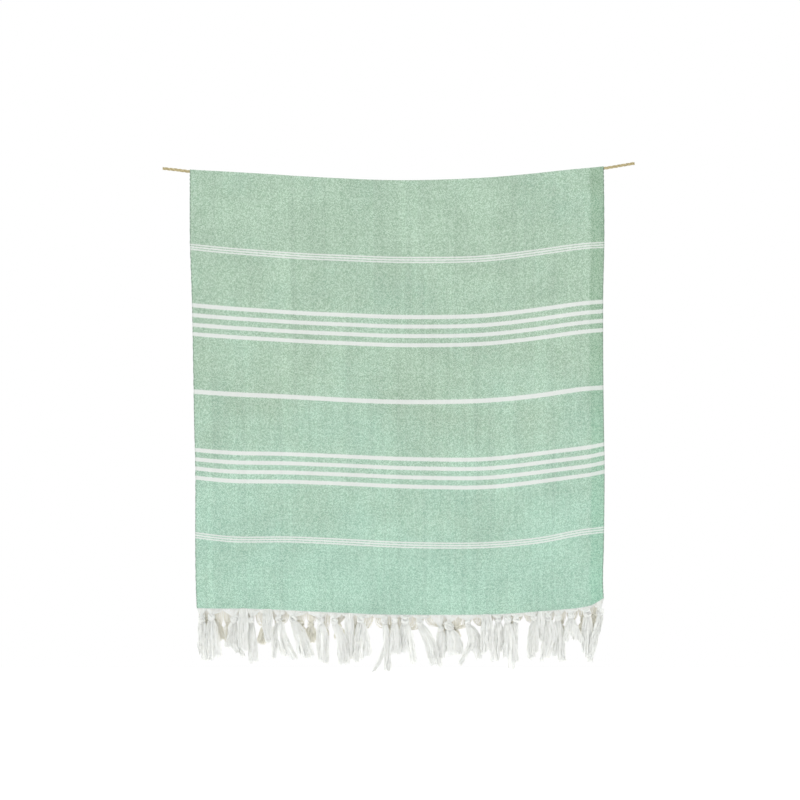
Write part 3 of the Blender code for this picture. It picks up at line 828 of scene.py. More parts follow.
# Along the cloth, the stripes wander a little, because the weft was beaten in unevenly.
# mm below the fold, then mm at shares 0, 0.1, 0.25, 0.4, 0.55, 0.7, 0.85, 0.95 and 1.
WEFT_BOW = [
    (0, 0, 0, 0, 0, 0, 0, 0, 0, 0),
    (175, -6, -2, 0, -1, 0, 2, -2, -5, -4),
    (330, 1, 3, 3, 2, 3, 5, 2, -1, -1),
    (483, 2, 3, 1, 1, 2, 4, 3, -1, 0),
    (638, 5, 7, 1, -1, 2, 7, 5, 3, -1),
    (794, 5, 9, 1, 0, 4, 8, 8, 0, 0),
    (960, 2, 2, 1, 0, 0, 2, 2, 1, 0),
]
BOW_SHARES = [0.0, 0.1, 0.25, 0.4, 0.55, 0.7, 0.85, 0.95, 1.0]


def weft_bow(across, drop):
    """How far below its straight place the weft lies."""
    here = [(share, smooth(WEFT_BOW, drop / MM, k + 1)) for k, share in enumerate(BOW_SHARES)]
    return smooth(here, across) * MM


def row_drops(hem):
    """Depths of the rows of one half: closer together by the rope and by the hem."""
    middle = hem - HEM_ZONE - ROPE_ZONE
    rows = [ROPE_ZONE * (k / ROPE_ROWS) ** ROPE_CROWDING for k in range(ROPE_ROWS)]
    rows += [ROPE_ZONE + middle * k / MIDDLE_ROWS for k in range(MIDDLE_ROWS)]
    rows += [hem - HEM_ZONE + HEM_ZONE * k / HEM_ROWS for k in range(HEM_ROWS + 1)]
    return rows


def half_column(across, side):
    """One side of a column, from the rope down: each row has its point, its place along the
    flat cloth and its way to the hem."""
    hem = hem_below_rope(across, side)
    rows = []
    for drop in row_drops(hem):
        x, y, z = sheet_point(across, drop, side)
        if min(across, 1.0 - across) < SCALLOP_SHARE:
            scallop = EDGE_SCALLOP * math.cos(math.tau * drop / SCALLOP_PITCH)
            x += scallop * (1 if across > 0.5 else -1)
        place = FOLD_RISE + drop - weft_bow(across, drop)
        rows.append((x, y, z, side * place, hem - drop))
    return rows


def cloth_column(across):
    """One column of the grid, from the front hem over the rope to the back hem."""
    top_x = across_to_x(across, 0.0)
    top_z = rope_height(top_x)
    hem = hem_below_rope(across, FRONT)
    over = []
    for step in range(1, FOLD_STEPS):
        turn = math.pi * step / FOLD_STEPS
        height = FOLD_RADIUS * math.sin(turn)
        place = (FOLD_RISE - height) * (-1 if turn < math.pi / 2 else 1)
        over.append((top_x, -FOLD_RADIUS * math.cos(turn), top_z + height, place, hem))
    return half_column(across, FRONT)[::-1] + over + half_column(across, BACK)


def column_shares():
    """Where the columns lie, as shares of the width."""
    even = [k / (COLUMNS - 1) for k in range(COLUMNS)]
    crowded = [0.5 - 0.5 * math.cos(math.pi * k / (COLUMNS - 1)) for k in range(COLUMNS)]
    return [EDGE_CROWDING * a + (1.0 - EDGE_CROWDING) * b for a, b in zip(crowded, even)]


def build_cloth():
    """The whole towel as one sheet, with its flat map and each point's way to the hem."""
    shares = column_shares()
    columns = [cloth_column(share) for share in shares]
    rows = len(columns[0])
    faces = []
    for c in range(COLUMNS - 1):
        for r in range(rows - 1):
            low = c * rows + r
            faces.append((low, low + rows, low + rows + 1, low + 1))
    mesh = bpy.data.meshes.new("towel_sheet")
    mesh.from_pydata([point[:3] for column in columns for point in column], [], faces)
    weave_map = mesh.uv_layers.new(name="weave")
    to_hem = mesh.attributes.new("to_hem", "FLOAT", "POINT")
    flat = [
        (share * TOWEL_WIDTH, place, distance)
        for share, column in zip(shares, columns)
        for _, _, _, place, distance in column
    ]
    for loop in mesh.loops:
        weave_map.data[loop.index].uv = flat[loop.vertex_index][:2]
    for k, (_, _, distance) in enumerate(flat):
        to_hem.data[k].value = distance
    mesh.shade_smooth()
    made = bpy.data.objects.new("towel_sheet", mesh)
    bpy.context.scene.collection.objects.link(made)
    wall = made.modifiers.new("thickness", "SOLIDIFY")
    wall.thickness = SHEET_THICKNESS
    wall.offset = 0.0
    wall.use_even_offset = True
    print("cloth grid:", COLUMNS, "x", rows)
    return made


towel = build_cloth()

# %% [markdown]
# ### The weave
#
# Off-white warp yarns run down the cloth and sage weft yarns cross them, so from a step away the
# ground looks heathered: mostly sage, flecked with white. The stripes are places where the
# weaver changed to an off-white weft. The material therefore mixes two yarns, and the cloth's own
# map says which yarn lies on top at each place.

# %% Stripes
# Middle of each stripe below the fold and its half width, mm, and how white it is.
STRIPES = (
    [(169.8, 1.5, 0.95), (175.0, 1.6, 1.0), (180.2, 1.5, 0.95)]
    + [(middle, 4.3, 1.0) for middle in (297.0, 317.5, 338.0, 358.0)]
    + [(483.0, 4.9, 1.0)]
    + [(middle, 4.3, 1.0) for middle in (608.0, 628.0, 648.0, 668.0)]
    + [(788.8, 1.5, 0.95), (794.0, 1.6, 1.0), (799.2, 1.5, 0.95)]
)
STRIPE_BLUR = 0.7 * MM
STRIPE_WANDER = 3.6 * MM            # how far a stripe's edge strays from thread to thread
WHITE_END = (1.6 * MM, 2.8 * MM)    # from the hem: where the last off-white weft gives way
print("stripes:", len(STRIPES))


def make_stripe_mask():
    """White where the weft is off-white, from the distance below the fold."""
    tree, given, end = new_tree("woven_stripes", "ShaderNodeTree",
                                {"Along": 0.0, "Blur": 0.0006}, {"Mask": 0.0})
    mask = 0.0
    for middle, half, whiteness in STRIPES:
        away = calc(tree, "ABSOLUTE", calc(tree, "SUBTRACT", given["Along"], middle * MM))
        inner = calc(tree, "SUBTRACT", half * MM, given["Blur"])
        outer = calc(tree, "ADD", half * MM, given["Blur"])
        mask = calc(tree, "MAXIMUM", mask, ranged(tree, away, inner, outer, whiteness, 0.0))
    feed(tree, end.inputs["Mask"], mask)
    return tree


woven_stripes = make_stripe_mask()

# %% [markdown]
# In a plain weave each warp yarn goes over one weft yarn and under the next. Two waves multiplied
# give that pattern: it is high where the warp lies on top and low where the weft does.

# %% Threads of a plain weave
THREAD_PITCH = 1.5 * MM             # two neighbouring threads


def make_plain_weave():
    """Over and under of warp and weft. Warp on Top is 1 where the warp shows."""
    tree, given, end = new_tree("plain_weave", "ShaderNodeTree",
                                {"Across": 0.0, "Along": 0.0, "Pitch": 0.0015},
                                {"Warp on Top": 0.0, "Height": 0.0})
    turn = calc(tree, "DIVIDE", math.tau, given["Pitch"])
    over = product(tree, calc(tree, "SINE", product(tree, given["Across"], turn)),
                   calc(tree, "SINE", product(tree, given["Along"], turn)))
    feed(tree, end.inputs["Warp on Top"], ranged(tree, over, -0.35, 0.35))
    feed(tree, end.inputs["Height"], calc(tree, "ABSOLUTE", over))
    return tree


plain_weave = make_plain_weave()

# %% [markdown]
# Slightly uneven yarn and dye make the cloth lively. Most of that is noise on the cloth's own
# map, stretched along the warp, along the weft or across both. Where two yarns cross, one of them
# wins by chance, so each small cell of the cloth also draws a lot of its own.

# %% Unevenness of the cloth
# Spots a metre across and along the cloth, octaves of detail, and a seed.
FLECKS = (480.0, 420.0, 1.0, 1.0)
RISING_SLUBS = (340.0, 120.0, 1.0, 2.0)
FALLING_SLUBS = (120.0, 340.0, 1.0, 3.0)
WARP_STREAKS = (70.0, 1.2, 3.0, 4.0)
WEFT_BARS = (2.0, 260.0, 2.0, 5.0)
SHADE_CLOUDS = (9.0, 7.0, 2.0, 6.0)
DYE_CLOUDS = (7.0, 5.0, 3.0, 8.0)
STRIPE_JITTER = (420.0, 700.0, 2.0, 0.0)
SPOT_ROUGHNESS = 0.6
SLUB_WEIGHT, CROSSING_WEIGHT, DYE_CELL_WEIGHT = 0.6, 0.22, 0.25
FLECK_CONTRAST, FLECK_MIDDLE = 0.45, 0.275
STREAK_DEPTH, BAR_DEPTH, CLOUD_DEPTH = 0.30, 0.16, 0.36
# A cell where yarns cross: its width, its length and a seed.
FLECK_CELL = (1.9 * MM, 2.3 * MM, 1.0)
DYE_CELL = (2.6 * MM, 2.1 * MM, 2.0)
# A soft crease runs down near the left selvedge. Its shade comes and goes across the cloth and
# deepens below the fold.
CREASE_COMES, CREASE_GOES = (36 * MM, 46 * MM), (50 * MM, 84 * MM)
CREASE_DEEPENS, CREASE_SHADE = (0.30, 0.50), 0.065


def spots(tree, across, along, kind):
    """One kind of unevenness, from 0 to 1."""
    per_m_across, per_m_along, detail, seed = kind
    place = combined(tree, product(tree, across, per_m_across),
                     product(tree, along, per_m_along), seed)
    return noise_at(tree, place, detail, SPOT_ROUGHNESS)[0]


def crossing_chance(tree, across, along, cell):
    """A chance from 0 to 1 for each small cell of the cloth."""
    width, length, seed = cell
    return chance_at(tree, combined(tree, calc(tree, "FLOOR", calc(tree, "DIVIDE", across, width)),
                                    calc(tree, "FLOOR", calc(tree, "DIVIDE", along, length)), seed))


def warp_flecks(tree, across, along):
    """How much warp shows: flecks two or three threads wide, in faint diagonals."""
    rising = total(tree, across, along)
    falling = calc(tree, "SUBTRACT", across, along)
    slubs = total(tree, spots(tree, rising, falling, RISING_SLUBS),
                  spots(tree, rising, falling, FALLING_SLUBS))
    flecks = total(tree, spots(tree, across, along, FLECKS),
                   product(tree, calc(tree, "SUBTRACT", slubs, 1.0), SLUB_WEIGHT))
    crossing = crossing_chance(tree, across, along, FLECK_CELL)
    by_chance = total(tree, FLECK_MIDDLE, swing(tree, crossing, CROSSING_WEIGHT))
    return total(tree, product(tree, flecks, FLECK_CONTRAST), by_chance)


def minty_share(tree, across, along, below_fold):
    """How minty the weft is: sage by the fold and mintier towards the hem, with clouds and cells of
    uneven dye.
    """
    clouds = ranged(tree, spots(tree, across, along, DYE_CLOUDS), 0.3, 0.7, -0.3, 0.3)
    crossing = crossing_chance(tree, across, along, DYE_CELL)
    return total(tree, ranged(tree, below_fold, 0.30, 0.95, soft=True), clouds,
                 swing(tree, crossing, DYE_CELL_WEIGHT))


def white_share(tree, across, along, below_fold):
    """Where the weft is off-white: in the stripes and in the last threads at each hem."""
    jitter = swing(tree, spots(tree, across, along, STRIPE_JITTER), STRIPE_WANDER)
    inputs = {"Along": total(tree, below_fold, jitter), "Blur": STRIPE_BLUR}
    stripes = put(tree, "ShaderNodeGroup", inputs, node_tree=woven_stripes).outputs["Mask"]
    white_end = ranged(tree, attribute(tree, "to_hem")["Fac"], *WHITE_END, 1.0, 0.0)
    return calc(tree, "MAXIMUM", stripes, white_end)


def dye_and_shade(tree, across, along, below_fold):
    """Lighter above 0 and darker below: streaks, bars and clouds, and the shade of a crease."""
    tone = total(tree, swing(tree, spots(tree, across, along, WARP_STREAKS), STREAK_DEPTH),
                 swing(tree, spots(tree, across, along, WEFT_BARS), BAR_DEPTH),
                 swing(tree, spots(tree, across, along, SHADE_CLOUDS), CLOUD_DEPTH))
    # The crease's darkening is painted shade.
    crease = product(tree, ranged(tree, across, *CREASE_COMES, soft=True),
                     ranged(tree, across, *CREASE_GOES, 1.0, 0.0, soft=True),
                     ranged(tree, below_fold, *CREASE_DEEPENS, 0.0, CREASE_SHADE))
    return calc(tree, "SUBTRACT", tone, crease)


# %% [markdown]
# The finish now puts the yarns together: weft, warp, and which of the two shows. White yarn takes
# the uneven dye and the painted shade less than sage yarn does. The strip that turns back on the
# right has painted shade, and along each selvedge the weft turns round the last warp in small dark
# loops.

# %% Woven cotton finish
WEFT_WHITE, WARP_WHITE = (0.745, 0.785, 0.75, 1.0), (0.80, 0.83, 0.79, 1.0)
WEFT_SAGE, WEFT_MINT = (0.319, 0.470, 0.339, 1.0), (0.319, 0.530, 0.412, 1.0)
# A white yarn picks up the colour round it.
WARP_BY_SAGE, WARP_BY_MINT = (0.705, 0.850, 0.735, 1.0), (0.705, 0.910, 0.785, 1.0)
STRIP_SHADE_HIGH, STRIP_SHADE_LOW = (0.79, 0.84, 0.785, 1.0), (0.86, 0.955, 0.91, 1.0)
STRIP_WIDTH = (27 * MM, 34 * MM)    # from the right selvedge: where the shade ends
SELVEDGE_DARK = (0.20, 0.30, 0.22, 1.0)
SELVEDGE_WIDTH = (1.5 * MM, 2.6 * MM)
WEAVE_RELIEF = 0.28 * MM
# White yarn is also spared the painted shade of the crease and of the turned-back strip.
SPARED_DYE_AND_SHADE, SPARED_EDGE = 0.65, 0.8     # how far white yarn is spared uneven dye and dark loops


def make_woven_cotton():
    """Sage cloth flecked with white, with its stripes, its uneven dye, its painted shade and its
    selvedges.
    """
    finish, tree, shader = new_finish("woven_cotton", 0.9, 0.12)
    weave_map = put(tree, "ShaderNodeUVMap", uv_map="weave").outputs[0]
    across, along, _ = put(tree, "ShaderNodeSeparateXYZ", {0: weave_map}).outputs
    below_fold = calc(tree, "ABSOLUTE", along)
    threads = put(tree, "ShaderNodeGroup",
                  {"Across": across, "Along": along, "Pitch": THREAD_PITCH},
                  node_tree=plain_weave).outputs
    flecks = warp_flecks(tree, across, along)
    shows = product(tree, threads["Warp on Top"], ranged(tree, flecks, 0.42, 0.58))
    minty = minty_share(tree, across, along, below_fold)
    white = white_share(tree, across, along, below_fold)
    weft = mixed(tree, white, mixed(tree, minty, WEFT_SAGE, WEFT_MINT), WEFT_WHITE)
    warp = mixed(tree, white, mixed(tree, minty, WARP_BY_SAGE, WARP_BY_MINT), WARP_WHITE)
    colour = mixed(tree, shows, weft, warp)

    takes_dye_and_shade = rest_of(tree, product(tree, white, SPARED_DYE_AND_SHADE))
    uneven = product(tree, dye_and_shade(tree, across, along, below_fold), takes_dye_and_shade)
    bright = total(tree, 1.0, uneven)
    colour = mixed(tree, 1.0, colour, combined(tree, bright, bright, bright), "MULTIPLY")

    # Painted shade on the strip that turns back at the right selvedge: darker high up, lighter and
    # greener lower down.
    from_right = calc(tree, "SUBTRACT", TOWEL_WIDTH, across)
    strip = product(tree, ranged(tree, from_right, *STRIP_WIDTH, 1.0, 0.0, soft=True), takes_dye_and_shade)
    shade = mixed(tree, ranged(tree, below_fold, 0.15, 0.75), STRIP_SHADE_HIGH, STRIP_SHADE_LOW)
    colour = mixed(tree, strip, colour, mixed(tree, 1.0, colour, shade, "MULTIPLY"))

    from_edge = calc(tree, "MINIMUM", across, from_right)
    loops = calc(tree, "SINE", product(tree, along, math.tau / SCALLOP_PITCH))
    edge = product(tree, ranged(tree, from_edge, *SELVEDGE_WIDTH, 1.0, 0.0),
                   ranged(tree, loops, -0.6, 0.7, 0.25, 0.85),
                   rest_of(tree, product(tree, white, SPARED_EDGE)))
    colour = mixed(tree, edge, colour, SELVEDGE_DARK)
    feed(tree, shader.inputs["Base Color"], colour)
    feed(tree, shader.inputs["Roughness"], ranged(tree, flecks, 0.2, 0.8, 0.96, 0.84))
    bumped(tree, shader, total(tree, threads["Height"], product(tree, flecks, 0.6)), WEAVE_RELIEF)
    return finish


woven_cotton = make_woven_cotton()
towel.data.materials.append(woven_cotton)
print("cloth finish:", woven_cotton.name, "with", len(woven_cotton.node_tree.nodes), "nodes")

# %% [markdown]
# ## The fringe
#
# Each tassel is a bundle of warp yarns: they leave the hem side by side, gather to a neck, go
# round an overhand knot and hang down in locks. All of that repeats along a path, so one
# Geometry Nodes tree does it all. It takes a path with a radius and lays a number of yarns inside
# that radius. Each yarn wanders, by itself or with the clump that it clings to, is trimmed to its
# own length and gets its thickness.

# %% Geometry Nodes for a bundle of yarn
# Numbers that keep the yarns' chances apart.
WAY_ROUND_SALT, WAY_OUT_SALT, STRAND_SALT, CUT_SALT = 11, 23, 37, 41
STRAND_STEP, SEED_STEP = 97.0, 3.7
WANDER_REACH = 3.0
THINNEST, THICKNESS_RANGE = 0.75, 0.5


def yarn_chances(tree, given):
    """The yarns, each with its place in the bundle, its clump and its length by chance."""
    def chance(low, high, salt):
        seed = total(tree, given["Seed"], salt)
        return put(tree, "FunctionNodeRandomValue", {2: low, 3: high, "Seed": seed}).outputs[1]

    yarns = copied_lines(tree, given, "Yarns")[0]
    yarns = remember(tree, yarns, "way_round", chance(0.0, math.tau, WAY_ROUND_SALT))
    innermost = calc(tree, "POWER", given["Inner Share"], 2.0)
    way_out = calc(tree, "SQRT", chance(innermost, 1.0, WAY_OUT_SALT))
    yarns = remember(tree, yarns, "way_out", way_out)
    yarns = remember(tree, yarns, "strand", chance(0.0, 1.0, STRAND_SALT))

    # Neighbouring yarns of one path cling together in clumps, which share their own chance.
    index = put(tree, "GeometryNodeInputIndex").outputs[0]
    path_number = calc(tree, "FLOOR", calc(tree, "DIVIDE", index, given["Yarns"]))
    sector = calc(tree, "FLOOR", product(tree, recall(tree, "way_round"),
                                         calc(tree, "DIVIDE", given["Clumps"], math.tau)))
    clump = chance_at(tree, combined(tree, path_number, sector, given["Seed"]))
    yarns = remember(tree, yarns, "clump", clump)
    shorter = put(tree, "ShaderNodeMix",
                  {0: given["Clump Share"], 2: chance(0.0, 1.0, CUT_SALT),
                   3: recall(tree, "clump")}).outputs[0]
    cut = rest_of(tree, product(tree, shorter, given["Uneven Tips"]))
    return remember(tree, yarns, "cut", cut)


def place_in_bundle(tree, given, factor, radius):
    """From the path's middle line out to a yarn's own place."""
    tangent = put(tree, "GeometryNodeInputTangent").outputs[0]
    normal = put(tree, "GeometryNodeInputNormal").outputs[0]
    aside = vector_calc(tree, "CROSS_PRODUCT", tangent, normal)
    angle = total(tree, recall(tree, "way_round"),
                  product(tree, factor, math.tau, given["Bundle Twist"]))
    ring = ring_direction(tree, normal, aside, angle)
    ring = vector_calc(tree, "MULTIPLY", ring, combined(tree, 1.0, given["Depth Share"], 1.0))
    return scaled(tree, ring, product(tree, radius, given["Spread"], recall(tree, "way_out")))


def wander(tree, given, factor, length):
    """How a yarn strays from its place, by itself and with its clump."""
    def wander_of(key):
        place = combined(tree, calc(tree, "DIVIDE", length, given["Wave Length"]),
                         product(tree, key, STRAND_STEP), product(tree, given["Seed"], SEED_STEP))
        moved = noise_at(tree, place, 1.5)[1]
        return vector_calc(tree, "SUBTRACT", moved, (0.5, 0.5, 0.5))

    together = scaled(tree, wander_of(recall(tree, "clump")), given["Clump Share"])
    alone = scaled(tree, wander_of(recall(tree, "strand")),
                   rest_of(tree, product(tree, given["Clump Share"], 0.5)))
    freedom = ranged(tree, factor, 0.0, given["Wave Start"])
    return scaled(tree, vector_calc(tree, "ADD", together, alone),
                  product(tree, freedom, WANDER_REACH, given["Waviness"]))


def make_yarn_bundle():
    """Yarns laid inside each path's radius."""
    tree, given, end = new_grower("yarn_bundle", {
        "Yarns": 30, "Yarn Radius": 0.0006, "Points": 10, "Sides": 3, "Path Share": 0.0,
        "Spread": 1.0, "Inner Share": 0.0, "Depth Share": 0.6, "Waviness": 0.0015,
        "Wave Length": 0.018, "Wave Start": 0.25, "Uneven Tips": 0.15, "Clumps": 7,
        "Clump Share": 0.0, "Bundle Twist": 0.3, "Taper": 0.3, "Seed": 1,
    })
    yarns = yarn_chances(tree, given)
    spline = put(tree, "GeometryNodeSplineParameter").outputs
    factor = spline["Factor"]
    radius = put(tree, "GeometryNodeInputRadius").outputs[0]
    offset = vector_calc(tree, "ADD", place_in_bundle(tree, given, factor, radius),
                         wander(tree, given, factor, spline["Length"]))
    yarns = put(tree, "GeometryNodeSetPosition",
                {"Geometry": yarns, "Offset": offset}).outputs[0]
    yarns = put(tree, "GeometryNodeTrimCurve",
                {"Curve": yarns, "End": recall(tree, "cut")}, mode="FACTOR").outputs[0]
    thin = rest_of(tree, product(tree, calc(tree, "POWER", factor, 3.0), given["Taper"]))
    uneven = total(tree, THINNEST, product(tree, recall(tree, "strand"), THICKNESS_RANGE))
    thickness = total(tree, given["Yarn Radius"], product(tree, radius, given["Path Share"]))
    tubes = tubes_along(tree, yarns, circle(tree, given["Sides"]),
                        product(tree, thickness, thin, uneven))
    return end_grower(tree, given, end, tubes, False)


yarn_bundle = make_yarn_bundle()
print("tree:", yarn_bundle.name, "with", len(yarn_bundle.nodes), "nodes")

# %% [markdown]
# ### Cotton yarn
#
# The yarn is undyed cotton, off-white, soft and quite matt. No two yarns have the same tone, and
# light gets a short way into them, so the gaps between them are warm rather than black. The back
# fringe hangs in the towel's shade, so its yarn has painted shade: a darker, warmer white.

# %% Cotton yarn finish
YARN_STREAK = (0.83, 0.82, 0.76, 1.0)
LIGHT_IN_YARN = {"Subsurface Weight": 0.35, "Subsurface Radius": (1.0, 0.95, 0.85),
                 "Subsurface Scale": 2.5 * MM}


def make_cotton_yarn(name, dark, light):
    """Soft matt yarn, each strand between a darker and a lighter white."""
    finish, tree, shader = new_finish(name, 0.95, 0.25)
    place = put(tree, "ShaderNodeTexCoord").outputs["Object"]
    tone, _ = streaks_on(tree, place, 520.0, 120.0, 0.5)
    colour = mixed(tree, attribute(tree, "strand")["Fac"], dark, light)
    colour = mixed(tree, ranged(tree, tone, 0.36, 0.60, 0.42, 0.0), colour, YARN_STREAK)
    feed(tree, shader.inputs["Base Color"], colour)
    feed(tree, shader.inputs["Roughness"], ranged(tree, tone, 0.3, 0.7, 1.0, 0.88))
    for socket_name, value in LIGHT_IN_YARN.items():
        shader.inputs[socket_name].default_value = value
    return finish


YARN = {
    FRONT: make_cotton_yarn("cotton_yarn", (0.94, 0.95, 0.915, 1.0), (0.965, 0.985, 0.96, 1.0)),
    # The back fringe's yarn is the front's yarn with painted shade: darker and warmer.
    BACK: make_cotton_yarn("cotton_yarn_painted_shade", (0.87, 0.85, 0.73, 1.0), (0.93, 0.91, 0.80, 1.0)),
}
print("yarn finishes:", [finish.name for finish in YARN.values()])


def bundled(side, name, paths, seed, sizes):
    """Yarns along paths, as one piece of the front or the back fringe."""
    return grown(name, paths_object(name + "_paths", paths), yarn_bundle,
                 {**sizes, "Seed": seed + side, "Material": YARN[side]})


# %% [markdown]
# ### Where each tassel hangs
#
# The front tassels follow their table. The back ones are more alike: their table gives only
# where each hangs, how long it is, how it leans and how far its yarns hang straight, and a rule
# gives its three locks. Most of them can't be seen from the front, so they are a guess.

# %% Places of the tassels
KNOT_OUT = 5.5 * MM                 # the knots stand this far out from the cloth's middle
LAYER_OUT = [8.0 * MM, 14.0 * MM]   # every second tassel hangs in front of its neighbours
HANG_PLANE_MARGIN = 42 * MM         # the outermost ones hang in the plane of the hem this far in
# mm: the knot's place from the left selvedge, the tips below the hem, their lean, and how far
# the yarns hang straight before they gather.
BACK_TASSELS = [
    (22, 66, 0, 16), (46, 76, 0, 40), (70, 78, 4, 40), (104, 66, 0, 28), (152, 80, -10, 33),
    (178, 60, -2, 28), (228, 60, 0, 22), (250, 72, 3, 22), (276, 60, 0, 34), (310, 62, 6, 10),
    (350, 56, -2, 28), (428, 56, 0, 26), (449, 56, 2, 30), (546, 56, 0, 22), (566, 56, -2, 26),
    (637, 56, 0, 22), (659, 60, 0, 14), (681, 58, -2, 17), (748, 60, 3, 20), (771, 62, 0, 20),
    (796, 62, 0, 24), (821, 56, 4, 24), (846, 62, 0, 24), (870, 70, -6, 16),
]
BACK_DROP = 30.0
BACK_KNOT = 15.0
BACK_LOCK_SPREAD = 7.0
BACK_LOCK_WIDTH = 15.0
BACK_LOCKS = ((-1, 3), (0, 0), (1, 5))      # left, middle or right, and how much shorter, mm
BACK_SLACK = 4                      # how far past half way a lock's middle lies, mm
BACK_FLARE = 1.2                    # how much wider the tips stand than the locks' middles

CORNER_DROP = FRONT_HEM[-1][1] * MM
HEM_WIDTH = across_to_x(1.0, CORNER_DROP) - across_to_x(0.0, CORNER_DROP)


def hem_point(from_left, side):
    """The middle of the hem's edge, at a distance from the left selvedge."""
    across = min(max(from_left / HEM_WIDTH, 0.0), 1.0)
    return sheet_point(across, hem_below_rope(across, side), side)


def knot_place(tassel, side):
    """The middle of a tassel's knot."""
    at = tassel[0] * MM
    x, y, z = hem_point(at, side)
    past_the_corner = at - min(at, HEM_WIDTH)
    return (x + past_the_corner, y + side * KNOT_OUT, z - tassel[1] * MM)


def hang_plane(tassel, index, side):
    """How far out a tassel's locks hang."""
    at = min(max(tassel[0] * MM, HANG_PLANE_MARGIN), HEM_WIDTH - HANG_PLANE_MARGIN)
    return hem_point(at, side)[1] + side * LAYER_OUT[index % 2]


def back_tassels():
    """Rows like those of the front table."""
    rows = []
    for at, tail, lean, straight in BACK_TASSELS:
        half_way = (BACK_DROP + tail) / 2 + BACK_SLACK
        locks = []
        for place, shorter in BACK_LOCKS:
            aside = place * BACK_LOCK_SPREAD
            locks.append((aside + lean / 2, half_way, aside * BACK_FLARE + lean, tail - shorter,
                          BACK_LOCK_WIDTH))
        rows.append((at, BACK_DROP, BACK_KNOT, locks, straight))
    return rows


TASSELS = {FRONT: FRONT_TASSELS, BACK: back_tassels()}
print("tassels:", {side: len(rows) for side, rows in TASSELS.items()})

# %% [markdown]
# ### Gathers
#
# From the hem the yarns run straight down for a few millimetres, as an off-white strip, and
# then lean towards their knot. On the front most knots sit right below the hem, so the yarns
# between two of them hang in shallow arches. On the back the yarns run straight for longer.

# %% Gathers
YARN_PITCH = 1.45 * MM
FRONT_STRAIGHT = 1.6 * MM           # on the front, above a knot
FRONT_SAG = 2.5 * MM                # and how much more where a yarn has the furthest to go
SAG_REACH = 20.0 * MM
SHORTEST_SLOPE = 1.2 * MM
BUNCH_WIDTH = 14.0                  # a bunch without a knot, at its narrowest, mm
NECK_SHARE = 0.40                   # of a knot's width, from its middle to its neck or its foot
PACKED_IN_KNOT, PACKED_IN_BUNCH = 0.13, 0.70
HEM_YARN, NECK_YARN = 0.35 * MM, 0.3 * MM       # radius of a pair of yarns
LOOSE_YARN_RADIUS, LOOSE_YARN_OUT = 0.2 * MM, 1.5 * MM
# One warp yarn was left out of its knot and hangs by itself: mm from the left selvedge, mm
# below the hem.
LOOSE_YARN = [(58, -1), (59, 8), (60, 30), (62, 50), (64, 64)]
GATHERED = {
    "Yarns": 2, "Yarn Radius": 0.62 * MM, "Points": 8, "Depth Share": 1.0,
    "Waviness": 0.35 * MM, "Wave Length": 12 * MM, "Wave Start": 0.4, "Uneven Tips": 0.0,
    "Bundle Twist": 0.6, "Taper": 0.0,
}


def gather_path(from_left, tassel, side, rng):
    """The yarn that leaves the hem at a place, down to its tassel's neck and into the knot."""
    x, y, z = hem_point(from_left, side)
    kx, ky, kz = knot_place(tassel, side)
    sag = FRONT_SAG * ease(abs(x - kx) / SAG_REACH)
    straight = FRONT_STRAIGHT + sag if side == FRONT else tassel[4] * MM
    straight *= rng.uniform(0.8, 1.2)
    turn = z - straight
    neck = min(kz + max(tassel[2], BUNCH_WIDTH) * NECK_SHARE * MM, turn - SHORTEST_SLOPE)
    packed = PACKED_IN_KNOT if tassel[2] else PACKED_IN_BUNCH
    aside = (x - kx) * packed + rng.uniform(-1.0, 1.0) * MM
    out = y + side * (0.9 * MM + rng.uniform(0.0, 0.8) * MM)
    jog = rng.uniform(-0.4, 0.4) * MM
    return [
        (x, y + side * 0.2 * MM, z + 1.6 * MM, HEM_YARN),
        (x + jog, out, z - straight * 0.5, HEM_YARN),
        (x + (kx - x) * 0.12, out, turn, HEM_YARN),
        (x + (kx - x) * 0.60, out + (ky - out) * 0.6, turn + (neck - turn) * 0.72, NECK_YARN),
        (kx + aside, ky - side * rng.uniform(0.0, 3.0) * MM, neck, NECK_YARN),
        (kx + aside * 0.6, ky - side * 2.0 * MM, neck - 5.0 * MM, NECK_YARN),
    ]


def gather_paths(side):
    """One path for each pair of yarns along the hem, and on the front one loose yarn."""
    rng = random.Random(20 + side)
    rows = TASSELS[side]
    places = [row[0] * MM for row in rows]
    bounds = [0.0] + [(near + far) / 2 for near, far in zip(places, places[1:])]
    count = int(HEM_WIDTH / YARN_PITCH)
    paths = []
    for k in range(count):
        from_left = HEM_WIDTH * (k + 0.5) / count
        tassel = max(i for i in range(len(rows)) if bounds[i] <= from_left)
        paths.append(gather_path(from_left, rows[tassel], side, rng))
    if side == FRONT:
        loose = [hem_point(at * MM, side) + (below * MM,) for at, below in LOOSE_YARN]
        paths.append([(x, y - LOOSE_YARN_OUT, z - below, LOOSE_YARN_RADIUS)
                      for x, y, z, below in loose])
    return paths


gathers = {side: bundled(side, name, gather_paths(side), 3, GATHERED)
           for side, name in ((FRONT, "front_gathers"), (BACK, "back_gathers"))}

# %% [markdown]
# ### Knots
#
# Each knot is an overhand knot: the bundle goes down behind, comes round the front, passes
# behind again and drops through its own loop. A table gives that path once. Every second knot
# is mirrored and each is turned a little, as hands tie them. A few bunches have no knot.

